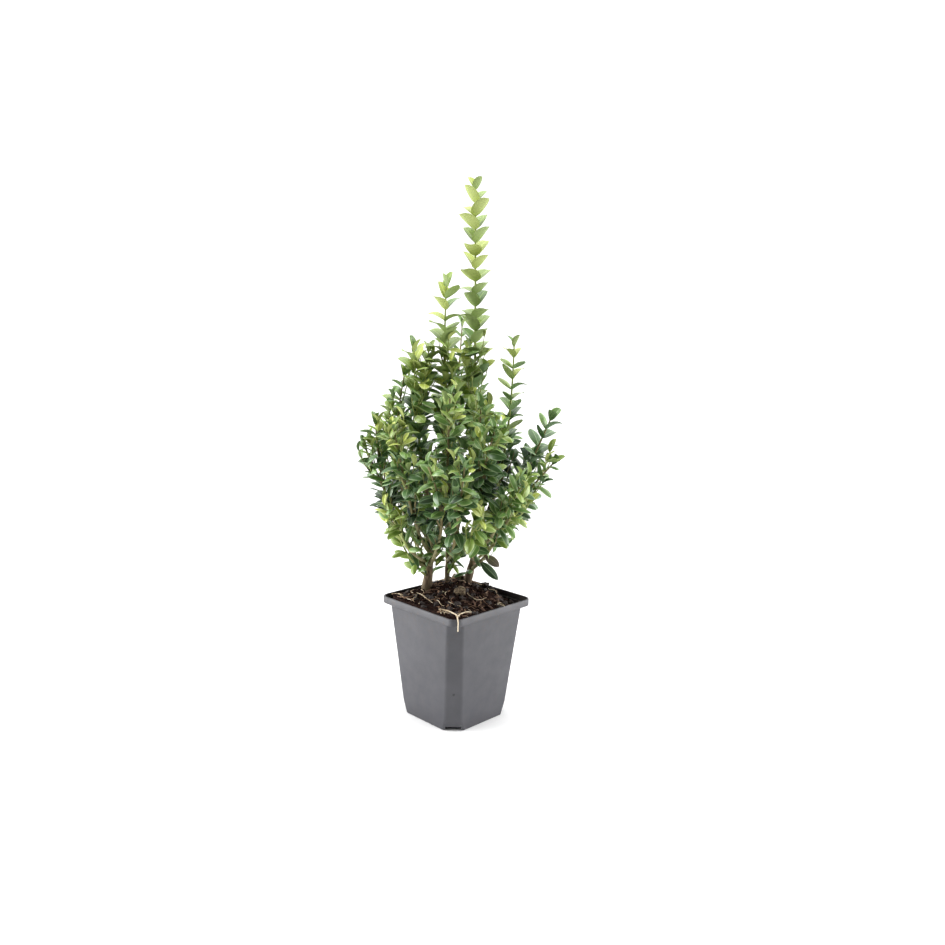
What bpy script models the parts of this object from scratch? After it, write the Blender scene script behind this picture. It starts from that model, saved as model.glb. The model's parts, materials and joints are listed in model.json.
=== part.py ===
"""A young boxwood in a square nursery pot.

Metres, +Z up. The origin is the centre of the pot's flat underside, and one corner of the pot faces -Y.
The pot and its compost carry three stems. The stems carry boughs, and each bough ends in one leafy mass.
"""
import math
import random
from collections import namedtuple

import bmesh
import bpy
import numpy as np
from mathutils import Matrix, Vector
from mathutils.bvhtree import BVHTree

MM = 0.001
GAP = 0.3 * MM                      # clearance between pieces that touch
UP = Vector((0.0, 0.0, 1.0))
SHARP_ANGLE = math.radians(40.0)

# ---- Pot: thin moulded wall, chamfered corners, a rim band that steps outwards ----
POT_HEIGHT = 99.0 * MM
POT_TURN = math.radians(44.5)
RIM_SIDE = 90.0 * MM
RIM_CORNER = 8.4 * MM
RIM_BAND = 5.6 * MM
RIM_LIP = 1.5 * MM
BODY_TOP_SIDE = 84.7 * MM
BODY_BASE_SIDE = 67.3 * MM
CORNER_FLAT_TOP = 12.7 * MM         # width of the flat across each corner
CORNER_FLAT_LOW = 13.3 * MM
CORNER_FLAT_BASE = 16.6 * MM        # the lowest stretch slopes in
CORNER_SLOPE_HEIGHT = 11.0 * MM
POT_WALL = 1.2 * MM
POT_FLOOR = 1.4 * MM
CORNER_POINTS = 5
NOTCH_WIDTH = 12.7 * MM
NOTCH_HEIGHT = 3.4 * MM
NOTCH_DEPTH = 12.0 * MM
DRAIN_WIDTH = 7.0 * MM
DRAIN_DEPTH = 3.0 * MM

# ---- Compost: level at the wall, mounded round the stems ----
SOIL_EDGE_LEVEL = 92.5 * MM
SOIL_SIDE_FALL = 0.04               # it lies lower towards +X
SOIL_MOUND = 13.5 * MM
SOIL_MOUND_CENTRE = Vector((1.0, 17.0, 0.0)) * MM
SOIL_MOUND_REACH = 60.0 * MM
SOIL_RINGS = (1.0, 0.84, 0.66, 0.48, 0.30, 0.14)
SOIL_ROUND = 44.0 * MM              # the rings inside the edge turn from square to this round
SOIL_ROUGHNESS = 0.5 * MM
SEAT_RADIUS = 6.5 * MM
SEAT_SINK = 0.9 * MM

# ---- Wood ----
TRUNK_SIDES = 8
BOUGH_SIDES = 5
FLARE = 0.38                        # extra radius at the foot, as a share
FLARE_HEIGHT = 6.0 * MM
BOUGH_SPREAD = 0.62                 # a bough first heads outwards, then turns up
BOUGH_RISE = 0.40
RING_SPACING = 13.0 * MM

# ---- Leaves: a root, two edges and a tip, under a raised crown ----
LEAF_LENGTH = 19.0 * MM
LEAF_WIDTH = 12.0 * MM
LEAF_CROWN = 0.9 * MM               # how far the middle stands above the line between the edges
LEAF_BELLY = 0.57                   # widest point, as a share of the length
LEAF_ARCH = 0.05                    # how far the belly stands up, as a share of the length
LEAF_DROOP = 0.10                   # how far the tip turns down
LEAF_LOWEST = 111.0 * MM
LEAF_ANGLE_LOW = math.radians(62.0)
LEAF_ANGLE_HIGH = math.radians(45.0)
TIP_ANGLE = math.radians(20.0)
TIP_LEAF = 0.8                      # the last pair is smaller
TWIG_LEAF = 0.93                    # and so are the leaves of twigs and forks
ROOT_SINK = 0.15 * MM               # how far past the twig's axis a leaf is rooted
ROOT_CLEAR = 2.2 * MM               # leaves may meet each other only this near the twig
LEAF_TRIES = ((0.0, 1.0), (0.0, 0.82), (0.4, 0.95), (-0.4, 0.95), (0.8, 0.85), (-0.8, 0.85), (0.0, 0.66))
JITTER = 0.12

# ---- Shoots: four-angled stems with opposite leaves, each pair a quarter turn on ----
STEM_SIDES = 4
STEM_RING_SPACING = 18.0 * MM
STEM_RADIUS = 1.3 * MM
TWIG_RADIUS = 1.0 * MM
STEM_TIP_RADIUS = 0.8 * MM
NODE_SPACING = 11.6 * MM
FIRST_NODE = 7.0 * MM
SIDE_FIRST_NODE = 15.0 * MM
FORK_FIRST_NODE = 14.0 * MM
TWIG_FIRST_NODE = 9.0 * MM
LAST_NODE = 0.985                   # share of a stem where its last pair stands
FORK_SHARE = 0.3                    # share of a stem where its forks leave it
TWIG_ANGLE = math.radians(42.0)
TWIG_LENGTH = 26.0 * MM
TWIG_CHANCE = 0.42
TWIG_STRETCH = 0.72                 # side twigs spring from the lower share of a stem
TWIG_HIGHEST = 290.0 * MM           # and from no stem above this height
MOST_TWIGS = 4                      # side twigs in one mass
SPACE_MARGIN = 0.5 * MM
LIMB_MARGIN = 0.6 * MM
LEAF_MARGIN = 0.35 * MM
STEM_STEP = 2.0 * MM                # spacing of the points that stand for a stem in the room test
LIMB_STEP = 1.5 * MM
SEED = 4107


def mm(x, y, z):
    return Vector((x, y, z)) * MM


# A trunk bows off the straight line by "bow" at its middle; its foot stands at ground level.
Trunk = namedtuple("Trunk", "foot top bow radius top_radius")
TRUNKS = {
    "trunk_left": Trunk(mm(-25.5, 12, 0), mm(-27, 6, 190), mm(4, -1, 0), 3.5 * MM, 1.5 * MM),
    "trunk_middle": Trunk(mm(-8.2, 22, 0), mm(-11.5, 12, 222), mm(1, 3, 0), 1.8 * MM, 1.2 * MM),
    "trunk_right": Trunk(mm(8.8, 26, 0), mm(12, 19, 214), mm(7, 1, 0), 3.0 * MM, 1.5 * MM),
}

# A bough springs from its trunk at a height and ends where it enters its mass.
Bough = namedtuple("Bough", "trunk height end radius end_radius")
BOUGHS = {
    "bough_far_left": Bough("trunk_left", 117 * MM, mm(-51, -2, 160), 2.0 * MM, 1.3 * MM),
    "bough_left_inner": Bough("trunk_left", 122 * MM, mm(-14, -20, 154), 1.7 * MM, 1.2 * MM),
    "bough_left_low": Bough("trunk_left", 125 * MM, mm(-37, -13, 140), 1.4 * MM, 1.1 * MM),
    "bough_left_back_low": Bough("trunk_left", 124 * MM, mm(-40, 24, 148), 1.4 * MM, 1.1 * MM),
    "bough_left_front": Bough("trunk_left", 133 * MM, mm(-33, -17, 162), 1.6 * MM, 1.2 * MM),
    "bough_left_back": Bough("trunk_left", 136 * MM, mm(-30, 28, 164), 1.6 * MM, 1.2 * MM),
    "bough_left_shoulder": Bough("trunk_left", 144 * MM, mm(-42, 9, 176), 1.6 * MM, 1.2 * MM),
    "bough_front": Bough("trunk_middle", 124 * MM, mm(-3, -20, 147), 1.3 * MM, 1.1 * MM),
    "bough_back": Bough("trunk_middle", 132 * MM, mm(-7, 42, 157), 1.3 * MM, 1.1 * MM),
    "bough_front_upper": Bough("trunk_middle", 148 * MM, mm(-9, -9, 182), 1.3 * MM, 1.1 * MM),
    "bough_right_low": Bough("trunk_right", 115 * MM, mm(30, 0, 146), 1.7 * MM, 1.2 * MM),
    "bough_lower_front": Bough("trunk_right", 124 * MM, mm(11, -10, 141), 1.4 * MM, 1.1 * MM),
    "bough_right_back_low": Bough("trunk_right", 122 * MM, mm(37, 30, 146), 1.4 * MM, 1.1 * MM),
    "bough_right_front": Bough("trunk_right", 131 * MM, mm(29, -16, 158), 1.6 * MM, 1.2 * MM),
    "bough_right_back": Bough("trunk_right", 134 * MM, mm(28, 38, 164), 1.6 * MM, 1.2 * MM),
    "bough_right_mid": Bough("trunk_right", 136 * MM, mm(43, -3, 170), 1.6 * MM, 1.2 * MM),
    "bough_right_spire": Bough("trunk_right", 152 * MM, mm(31, 9, 190), 1.7 * MM, 1.2 * MM),
    "bough_far_right": Bough("trunk_right", 143 * MM, mm(45, 9, 182), 1.6 * MM, 1.2 * MM),
    "bough_centre_right": Bough("trunk_right", 160 * MM, mm(18, -8, 186), 1.5 * MM, 1.1 * MM),
}

# A mass goes on from the end of its carrier, or springs from a trunk's side at a height.
# Its stem and its forks end in the tips given here; "leaf" is its leaves' size as a share.
# "bow" is how far the middle of the stem stands off its course.
Mass = namedtuple("Mass", "carrier tip forks leaf height bow", defaults=(None, Vector()))
MASSES = {
    "leader": Mass("trunk_right", mm(8, 4, 427), (), 0.76, bow=mm(9, 0, 0)),
    "second_spire": Mass("trunk_middle", mm(-13, -5, 351), (), 0.80),
    "left_spire": Mass("trunk_left", mm(-37, -12, 300), (mm(-26, 2, 300),), 0.90),
    "far_left": Mass("bough_far_left", mm(-67, -6, 242), (mm(-74, -8, 221),), 0.95),
    "front_left": Mass("bough_left_inner", mm(-23, -60, 217), (), 1.0),
    "left_low": Mass("bough_left_low", mm(-56, -28, 184), (mm(-46, -16, 162),), 0.95),
    "left_back_low": Mass("bough_left_back_low", mm(-61, 36, 208), (), 1.0),
    "left_front": Mass("bough_left_front", mm(-50, -42, 242), (), 1.0),
    "back_left": Mass("bough_left_back", mm(-43, 47, 252), (), 1.0),
    "left_shoulder": Mass("bough_left_shoulder", mm(-57, 3, 250), (mm(-45, -2, 280),), 0.95),
    "front_centre": Mass("bough_front", mm(4, -62, 217), (), 1.0),
    "back_centre": Mass("bough_back", mm(-6, 67, 238), (), 1.0),
    "front_upper": Mass("bough_front_upper", mm(-8, -37, 266), (), 1.0),
    "right_low": Mass("bough_right_low", mm(52, -22, 181), (mm(41, -9, 163),), 1.0),
    "lower_front": Mass("bough_lower_front", mm(12, -48, 174), (), 0.95),
    "right_back_low": Mass("bough_right_back_low", mm(60, 36, 204), (), 1.0),
    "right_front": Mass("bough_right_front", mm(52, -46, 208), (), 1.0),
    "back_right": Mass("bough_right_back", mm(43, 50, 250), (), 1.0),
    "right_mid": Mass("bough_right_mid", mm(74, -15, 214), (), 1.0),
    "right_spire": Mass("bough_right_spire", mm(41.5, 0, 306), (), 0.80),
    "far_right": Mass("bough_far_right", mm(72, -4, 248), (), 1.0),
    "centre_right": Mass("bough_centre_right", mm(26, -44, 242), (), 1.0),
    "lower_left": Mass("trunk_left", mm(-46, -12, 149), (), 0.85, 112 * MM),
    "lower_inner": Mass("trunk_left", mm(-16, 24, 146), (), 0.80, 113 * MM),
    "lower_middle": Mass("trunk_middle", mm(3, 8, 142), (), 0.80, 112 * MM),
    "right_shoulder": Mass("trunk_right", mm(16, -12, 258), (), 1.0, 194 * MM),
    "back_upper": Mass("trunk_middle", mm(0, 33, 321), (), 0.95, 188 * MM),
    "back_inner": Mass("trunk_right", mm(18, 30, 264), (), 1.0, 203 * MM),
}


# ---------------------------------------------------------------- scene and materials

def clear_scene():
    for item in list(bpy.data.objects):
        bpy.data.objects.remove(item)


def material(name, colour, roughness):
    """A plain Principled material; the colour is linear RGB."""
    made = bpy.data.materials.new(name)
    made.use_nodes = True
    shader = made.node_tree.nodes["Principled BSDF"]
    shader.inputs["Base Color"].default_value = (*colour, 1.0)
    shader.inputs["Roughness"].default_value = roughness
    shader.inputs["Metallic"].default_value = 0.0
    return made


def mesh_object(name, verts, faces, finish=None, smooth=False):
    mesh = bpy.data.meshes.new(name)
    mesh.from_pydata([tuple(v) for v in verts], [], faces)
    mesh.update()
    if smooth:
        mesh.shade_smooth()
        mesh.set_sharp_from_angle(angle=SHARP_ANGLE)
    item = bpy.data.objects.new(name, mesh)
    if finish:
        mesh.materials.append(finish)
    bpy.context.scene.collection.objects.link(item)
    return item


def cutter(item):
    item.hide_render = True
    item.display_type = "WIRE"
    return item


def boolean(item, other, operation):
    step = item.modifiers.new(operation.lower(), "BOOLEAN")
    step.operation = operation
    step.solver = "EXACT"
    step.object = other
    return step


def apply_modifiers(item):
    """Replace the object's mesh by what its modifiers make of it."""
    bpy.context.view_layer.update()
    graph = bpy.context.evaluated_depsgraph_get()
    mesh = bpy.data.meshes.new_from_object(item.evaluated_get(graph))
    item.modifiers.clear()
    item.data = mesh


# ---------------------------------------------------------------- pot and compost

def square_ring(side, flat, height, round_corner):
    """A square ring with each corner cut by a flat, or rounded to the same reach."""
    leg = flat / math.sqrt(2.0) if not round_corner else flat
    half = side / 2.0
    points = []
    for quarter in range(4):
        turn = Matrix.Rotation(quarter * math.pi / 2.0, 3, "Z")
        for step in range(CORNER_POINTS):
            share = step / (CORNER_POINTS - 1)
            if round_corner:
                angle = share * math.pi / 2.0
                x = half - leg + leg * math.cos(angle)
                y = half - leg + leg * math.sin(angle)
            else:
                x = half - leg * share
                y = half - leg * (1.0 - share)
            points.append(turn @ Vector((x, y, height)))
    spin = Matrix.Rotation(POT_TURN, 3, "Z")
    return [spin @ p for p in points]


def loft(rings, top_point=None):
    """Skin a stack of equal rings from the bottom up and close both ends."""
    count = len(rings[0])
    verts = [p for ring in rings for p in ring]
    faces = [tuple(reversed(range(count)))]
    for level in range(len(rings) - 1):
        low = level * count
        for i in range(count):
            j = (i + 1) % count
            faces.append((low + i, low + j, low + count + j, low + count + i))
    last = (len(rings) - 1) * count
    if top_point is None:
        faces.append(tuple(range(last, last + count)))
    else:
        verts.append(top_point)
        faces += [(last + i, last + (i + 1) % count, len(verts) - 1) for i in range(count)]
    return verts, faces


def body_side(height):
    """Outer side of the tapering body at a height."""
    top = POT_HEIGHT - RIM_BAND
    return BODY_BASE_SIDE + (BODY_TOP_SIDE - BODY_BASE_SIDE) * height / top


def corner_flat(height):
    if height < CORNER_SLOPE_HEIGHT:
        share = height / CORNER_SLOPE_HEIGHT
        return CORNER_FLAT_BASE + (CORNER_FLAT_LOW - CORNER_FLAT_BASE) * share
    share = (height - CORNER_SLOPE_HEIGHT) / (POT_HEIGHT - RIM_BAND - CORNER_SLOPE_HEIGHT)
    return CORNER_FLAT_LOW + (CORNER_FLAT_TOP - CORNER_FLAT_LOW) * share


def body_ring(height, inset):
    """The body's ring at a height, moved in by an inset; the flat shortens with it."""
    flat = corner_flat(height) - 2.0 * inset * math.tan(math.pi / 8.0)
    return square_ring(body_side(height) - 2.0 * inset, flat, height, False)


def rim_ring(height, inset):
    return square_ring(RIM_SIDE - 2.0 * inset, RIM_CORNER - inset, height, True)


def corner_block(name, width, depth, top):
    """A block under each corner: from below the pot up to a height, square to the corner's flat."""
    verts = []
    faces = []
    flat_distance = body_side(0.0) / math.sqrt(2.0) - corner_flat(0.0) / 2.0
    inner = flat_distance - depth
    outer = flat_distance + 20.0 * MM
    bottom = -5.0 * MM
    for quarter in range(4):
        turn = Matrix.Rotation(POT_TURN + math.pi / 4.0 + quarter * math.pi / 2.0, 3, "Z")
        base = len(verts)
        for z in (bottom, top):
            for x, y in ((inner, -1), (outer, -1), (outer, 1), (inner, 1)):
                verts.append(turn @ Vector((x, y * width / 2.0, z)))
        faces += [tuple(base + i for i in face) for face in
                  ((3, 2, 1, 0), (4, 5, 6, 7), (0, 1, 5, 4), (1, 2, 6, 5), (2, 3, 7, 6), (3, 0, 4, 7))]
    return cutter(mesh_object(name, verts, faces))


def drain_slots():
    """One slot through the raised floor of each corner."""
    verts = []
    faces = []
    flat_distance = body_side(0.0) / math.sqrt(2.0) - corner_flat(0.0) / 2.0
    centre = flat_distance - NOTCH_DEPTH / 2.0
    for quarter in range(4):
        turn = Matrix.Rotation(POT_TURN + math.pi / 4.0 + quarter * math.pi / 2.0, 3, "Z")
        base = len(verts)
        for z in (NOTCH_HEIGHT - MM, NOTCH_HEIGHT + POT_WALL + MM):
            for x, y in ((-1, -1), (1, -1), (1, 1), (-1, 1)):
                corner = Vector((centre + x * DRAIN_DEPTH / 2.0, y * DRAIN_WIDTH / 2.0, z))
                verts.append(turn @ corner)
        faces += [tuple(base + i for i in face) for face in
                  ((3, 2, 1, 0), (4, 5, 6, 7), (0, 1, 5, 4), (1, 2, 6, 5), (2, 3, 7, 6), (3, 0, 4, 7))]
    return cutter(mesh_object("drain_slots", verts, faces))


def make_pot(finish):
    shoulder = POT_HEIGHT - RIM_BAND
    outer = loft([
        body_ring(0.0, 0.0), body_ring(CORNER_SLOPE_HEIGHT, 0.0), body_ring(shoulder, 0.0),
        rim_ring(shoulder, 0.0), rim_ring(POT_HEIGHT, 0.0),
    ])
    cavity = loft([
        body_ring(POT_FLOOR, POT_WALL), body_ring(CORNER_SLOPE_HEIGHT, POT_WALL),
        body_ring(shoulder + POT_WALL, POT_WALL), rim_ring(shoulder + POT_WALL, RIM_LIP),
        rim_ring(POT_HEIGHT + MM, RIM_LIP),
    ])
    hollow = cutter(mesh_object("pot_hollow", *cavity))
    kept = corner_block("corner_floor", NOTCH_WIDTH + 2.0 * POT_WALL, NOTCH_DEPTH + POT_WALL,
                        NOTCH_HEIGHT + POT_WALL)
    boolean(hollow, kept, "DIFFERENCE")
    pot = mesh_object("pot", *outer, finish)
    boolean(pot, hollow, "DIFFERENCE")
    boolean(pot, corner_block("notches", NOTCH_WIDTH, NOTCH_DEPTH, NOTCH_HEIGHT), "DIFFERENCE")
    boolean(pot, drain_slots(), "DIFFERENCE")
    return pot


def soil_level(x, y):
    """Height of the compost: a shallow slope towards +X, with a mound round the stems."""
    away = math.hypot(x - SOIL_MOUND_CENTRE.x, y - SOIL_MOUND_CENTRE.y) / SOIL_MOUND_REACH
    away = min(1.0, away)
    mound = 1.0 - away * away * (3.0 - 2.0 * away)
    return SOIL_EDGE_LEVEL - SOIL_SIDE_FALL * x + SOIL_MOUND * mound


def foot_level(name):
    """Ground level at a trunk: its flat cut stands on a seat pressed just into the compost."""
    foot = TRUNKS[name][0]
    return soil_level(foot.x, foot.y) - SEAT_SINK + GAP


def make_soil(finish):
    rng = random.Random(SEED)
    edge = SOIL_EDGE_LEVEL - 4.0 * MM
    rim = body_ring(SOIL_EDGE_LEVEL, POT_WALL + GAP)
    rings = [body_ring(POT_FLOOR + GAP, POT_WALL + GAP), body_ring(CORNER_SLOPE_HEIGHT, POT_WALL + GAP),
             body_ring(edge, POT_WALL + GAP)]
    centre = SOIL_MOUND_CENTRE
    for share in SOIL_RINGS:
        ring = []
        squareness = share ** 3
        for index, p in enumerate(rim):
            around = POT_TURN + math.pi / 4.0 + (index - 2) * 2.0 * math.pi / len(rim)
            x = p.x * squareness + SOIL_ROUND * math.cos(around) * (1.0 - squareness)
            y = p.y * squareness + SOIL_ROUND * math.sin(around) * (1.0 - squareness)
            x = centre.x * (1.0 - share) + x * share
            y = centre.y * (1.0 - share) + y * share
            rough = rng.uniform(-SOIL_ROUGHNESS, SOIL_ROUGHNESS) if share < 1.0 else 0.0
            ring.append(Vector((x, y, soil_level(x, y) + rough)))
        rings.append(ring)
    top = Vector((centre.x, centre.y, soil_level(centre.x, centre.y)))
    soil = mesh_object("soil", *loft(rings, top), finish)
    block = corner_block("corner_ledge", NOTCH_WIDTH + 2.0 * (POT_WALL + GAP), NOTCH_DEPTH + POT_WALL + GAP,
                         NOTCH_HEIGHT + POT_WALL + GAP)
    boolean(soil, block, "DIFFERENCE")
    for name, row in TRUNKS.items():
        seat = Matrix.Translation((row[0].x, row[0].y, foot_level(name) - GAP + 10.0 * MM))
        mesh = bpy.data.meshes.new("seat_" + name)
        shape = bmesh.new()
        bmesh.ops.create_cone(shape, cap_ends=True, segments=12, radius1=SEAT_RADIUS,
                              radius2=SEAT_RADIUS, depth=20.0 * MM, matrix=seat)
        shape.to_mesh(mesh)
        shape.free()
        item = bpy.data.objects.new("seat_" + name, mesh)
        bpy.context.scene.collection.objects.link(item)
        boolean(soil, cutter(item), "DIFFERENCE")
    return soil


# ---------------------------------------------------------------- paths, tubes and leaves

def path_point(path, t):
    """A point on the curve through a start, a control point and an end."""
    start, control, end = path
    return start * (1 - t) ** 2 + control * 2 * t * (1 - t) + end * t ** 2


def path_heading(path, t):
    start, control, end = path
    return ((control - start) * (1 - t) + (end - control) * t).normalized()


def path_length(path, steps=24):
    points = [path_point(path, i / steps) for i in range(steps + 1)]
    return sum((b - a).length for a, b in zip(points, points[1:]))


def sample_path(path, spacing):
    count = max(2, int(path_length(path) / spacing))
    return [tuple(path_point(path, i / count)) for i in range(count + 1)]


def path_frame(path, t, heading=None):
    """Heading, side and second side of a path; its leaves and its tube share them."""
    line = (path[2] - path[0]).normalized()
    reference = Vector((1, 0, 0)) if abs(line.x) < 0.6 else Vector((0, 1, 0))
    heading = heading or path_heading(path, t)
    side = heading.cross(reference).normalized()
    return heading, side, heading.cross(side)


def share_at_height(path, height):
    """Where along a rising path its height is reached."""
    low, high = 0.0, 1.0
    for _ in range(30):
        middle = (low + high) / 2.0
        if path_point(path, middle).z < height:
            low = middle
        else:
            high = middle
    return low


def tube(path, radius, end_radius, sides, spin=0.0, spacing=RING_SPACING, flare=0.0, grow=0.0):
    """A tapering limb round a path, cut flat at both ends. One with a flare stands on level ground."""
    length = path_length(path)
    count = max(3, round(length / spacing) + 1)
    shares = [i / (count - 1) for i in range(count)]
    if flare:
        shares = [0.0, 0.3 * FLARE_HEIGHT / length, FLARE_HEIGHT / length] + shares[1:]
    verts = []
    for index, t in enumerate(shares):
        _, side, other = path_frame(path, t, UP if flare and index == 0 else None)
        wide = radius + (end_radius - radius) * t + grow
        if flare:
            wide *= 1.0 + flare * max(0.0, 1.0 - t * length / FLARE_HEIGHT) ** 2
        centre = path_point(path, t)
        for k in range(sides):
            angle = spin + 2.0 * math.pi * (k + 0.5) / sides
            verts.append(centre + (side * math.cos(angle) + other * math.sin(angle)) * wide)
    faces = [tuple(reversed(range(sides)))]
    for level in range(len(shares) - 1):
        low = level * sides
        for k in range(sides):
            j = (k + 1) % sides
            faces.append((low + k, low + j, low + sides + j, low + sides + k))
    faces.append(tuple(range(len(verts) - sides, len(verts))))
    return verts, faces


def leaf(root, heading, face_up, length, width, crown_height):
    """One arched leaf of six faces: a root, two edges and a tip below them, under a raised crown."""
    side = heading.cross(face_up).normalized()
    rise = side.cross(heading).normalized()
    belly = root + heading * length * LEAF_BELLY + rise * length * LEAF_ARCH
    tip = root + heading * length - rise * length * LEAF_DROOP
    crown = belly + rise * crown_height
    verts = [root, belly + side * width / 2.0, tip, belly - side * width / 2.0, crown]
    faces = [(0, 1, 4), (1, 2, 4), (2, 3, 4), (3, 0, 4), (0, 3, 1), (1, 3, 2)]
    return verts, faces


def outward(verts, faces):
    """Turn the faces round if the shape has a negative volume."""
    volume = 0.0
    for face in faces:
        for k in range(1, len(face) - 1):
            volume += verts[face[0]].dot(verts[face[k]].cross(verts[face[k + 1]]))
    return [tuple(reversed(face)) for face in faces] if volume < 0.0 else faces


# ---------------------------------------------------------------- limbs

def trunk_path(name):
    trunk = TRUNKS[name]
    start = Vector((trunk.foot.x, trunk.foot.y, foot_level(name)))
    return start, (start + trunk.top) / 2.0 + trunk.bow * 2.0, trunk.top


def leaving_path(trunk, height, end):
    """A path from a trunk's axis that first heads outwards and then turns up."""
    path = trunk_path(trunk)
    start = path_point(path, share_at_height(path, height))
    run = end - start
    control = start + Vector((run.x * BOUGH_SPREAD, run.y * BOUGH_SPREAD, run.z * BOUGH_RISE))
    return start, control, end


def bough_path(name):
    bough = BOUGHS[name]
    return leaving_path(bough.trunk, bough.height, bough.end)


def limb_samples():
    """Centre points and radii along every limb, for clearance tests."""
    limbs = [(trunk_path(name), trunk.radius * (1.0 + FLARE / 2.0), trunk.top_radius)
             for name, trunk in TRUNKS.items()]
    limbs += [(bough_path(name), bough.radius, bough.end_radius) for name, bough in BOUGHS.items()]
    rows = []
    for path, radius, end_radius in limbs:
        points = sample_path(path, LIMB_STEP)
        for index, point in enumerate(points):
            share = index / (len(points) - 1)
            rows.append((*point, radius + (end_radius - radius) * share))
    return np.array(rows)


def make_trunks(finish):
    """The trunks, and for each a slightly fatter copy that cuts what springs from it."""
    cutters = {}
    for name, trunk in TRUNKS.items():
        path = trunk_path(name)
        shape = tube(path, trunk.radius, trunk.top_radius, TRUNK_SIDES, flare=FLARE)
        mesh_object(name, *shape, finish, smooth=True)
        fat = tube(path, trunk.radius, trunk.top_radius, TRUNK_SIDES, flare=FLARE, grow=GAP * 1.1)
        cutters[name] = cutter(mesh_object("clear_" + name, *fat))
    return cutters


def cut_clear(item, trunk_cutter):
    """Cut away what lies inside a trunk, so that the end fits the trunk's side."""
    boolean(item, trunk_cutter, "DIFFERENCE")
    apply_modifiers(item)
    keep_largest(item.data)


def make_boughs(cutters, finish):
    for name, bough in BOUGHS.items():
        shape = tube(bough_path(name), bough.radius, bough.end_radius, BOUGH_SIDES)
        item = mesh_object(name, *shape, finish)
        cut_clear(item, cutters[bough.trunk])
        item.data.shade_smooth()
        item.data.set_sharp_from_angle(angle=SHARP_ANGLE)


# ---------------------------------------------------------------- masses

def stem_path(mass):
    """A mass's stem: it goes on from its carrier's end, or leaves a trunk, and turns to its own tip."""
    if mass.height is not None:
        return leaving_path(mass.carrier, mass.height, mass.tip)
    path = trunk_path(mass.carrier) if mass.carrier in TRUNKS else bough_path(mass.carrier)
    heading = path_heading(path, 1.0)
    start = path[2] + heading * GAP
    control = start + heading * (mass.tip - start).length * 0.4 + mass.bow * 2.0
    return start, control, mass.tip


def fork_paths(mass):
    """The forks of a mass: each leaves the stem low down and turns to its own tip."""
    stem = stem_path(mass)
    paths = []
    for tip in mass.forks:
        start = path_point(stem, FORK_SHARE)
        heading = path_heading(stem, FORK_SHARE)
        paths.append((start, start + heading * (tip - start).length * 0.35, tip))
    return paths


def nearest(points, samples):
    return np.sqrt(((points[:, None, :] - samples[None, :, :]) ** 2).sum(axis=2).min(axis=1))


def lean(path, t, angle, around):
    """A direction at an angle off a path's heading, turned round it."""
    heading, side, other = path_frame(path, t)
    out = side * math.cos(around) + other * math.sin(around)
    return (heading * math.cos(angle) + out * math.sin(angle)).normalized()


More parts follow.
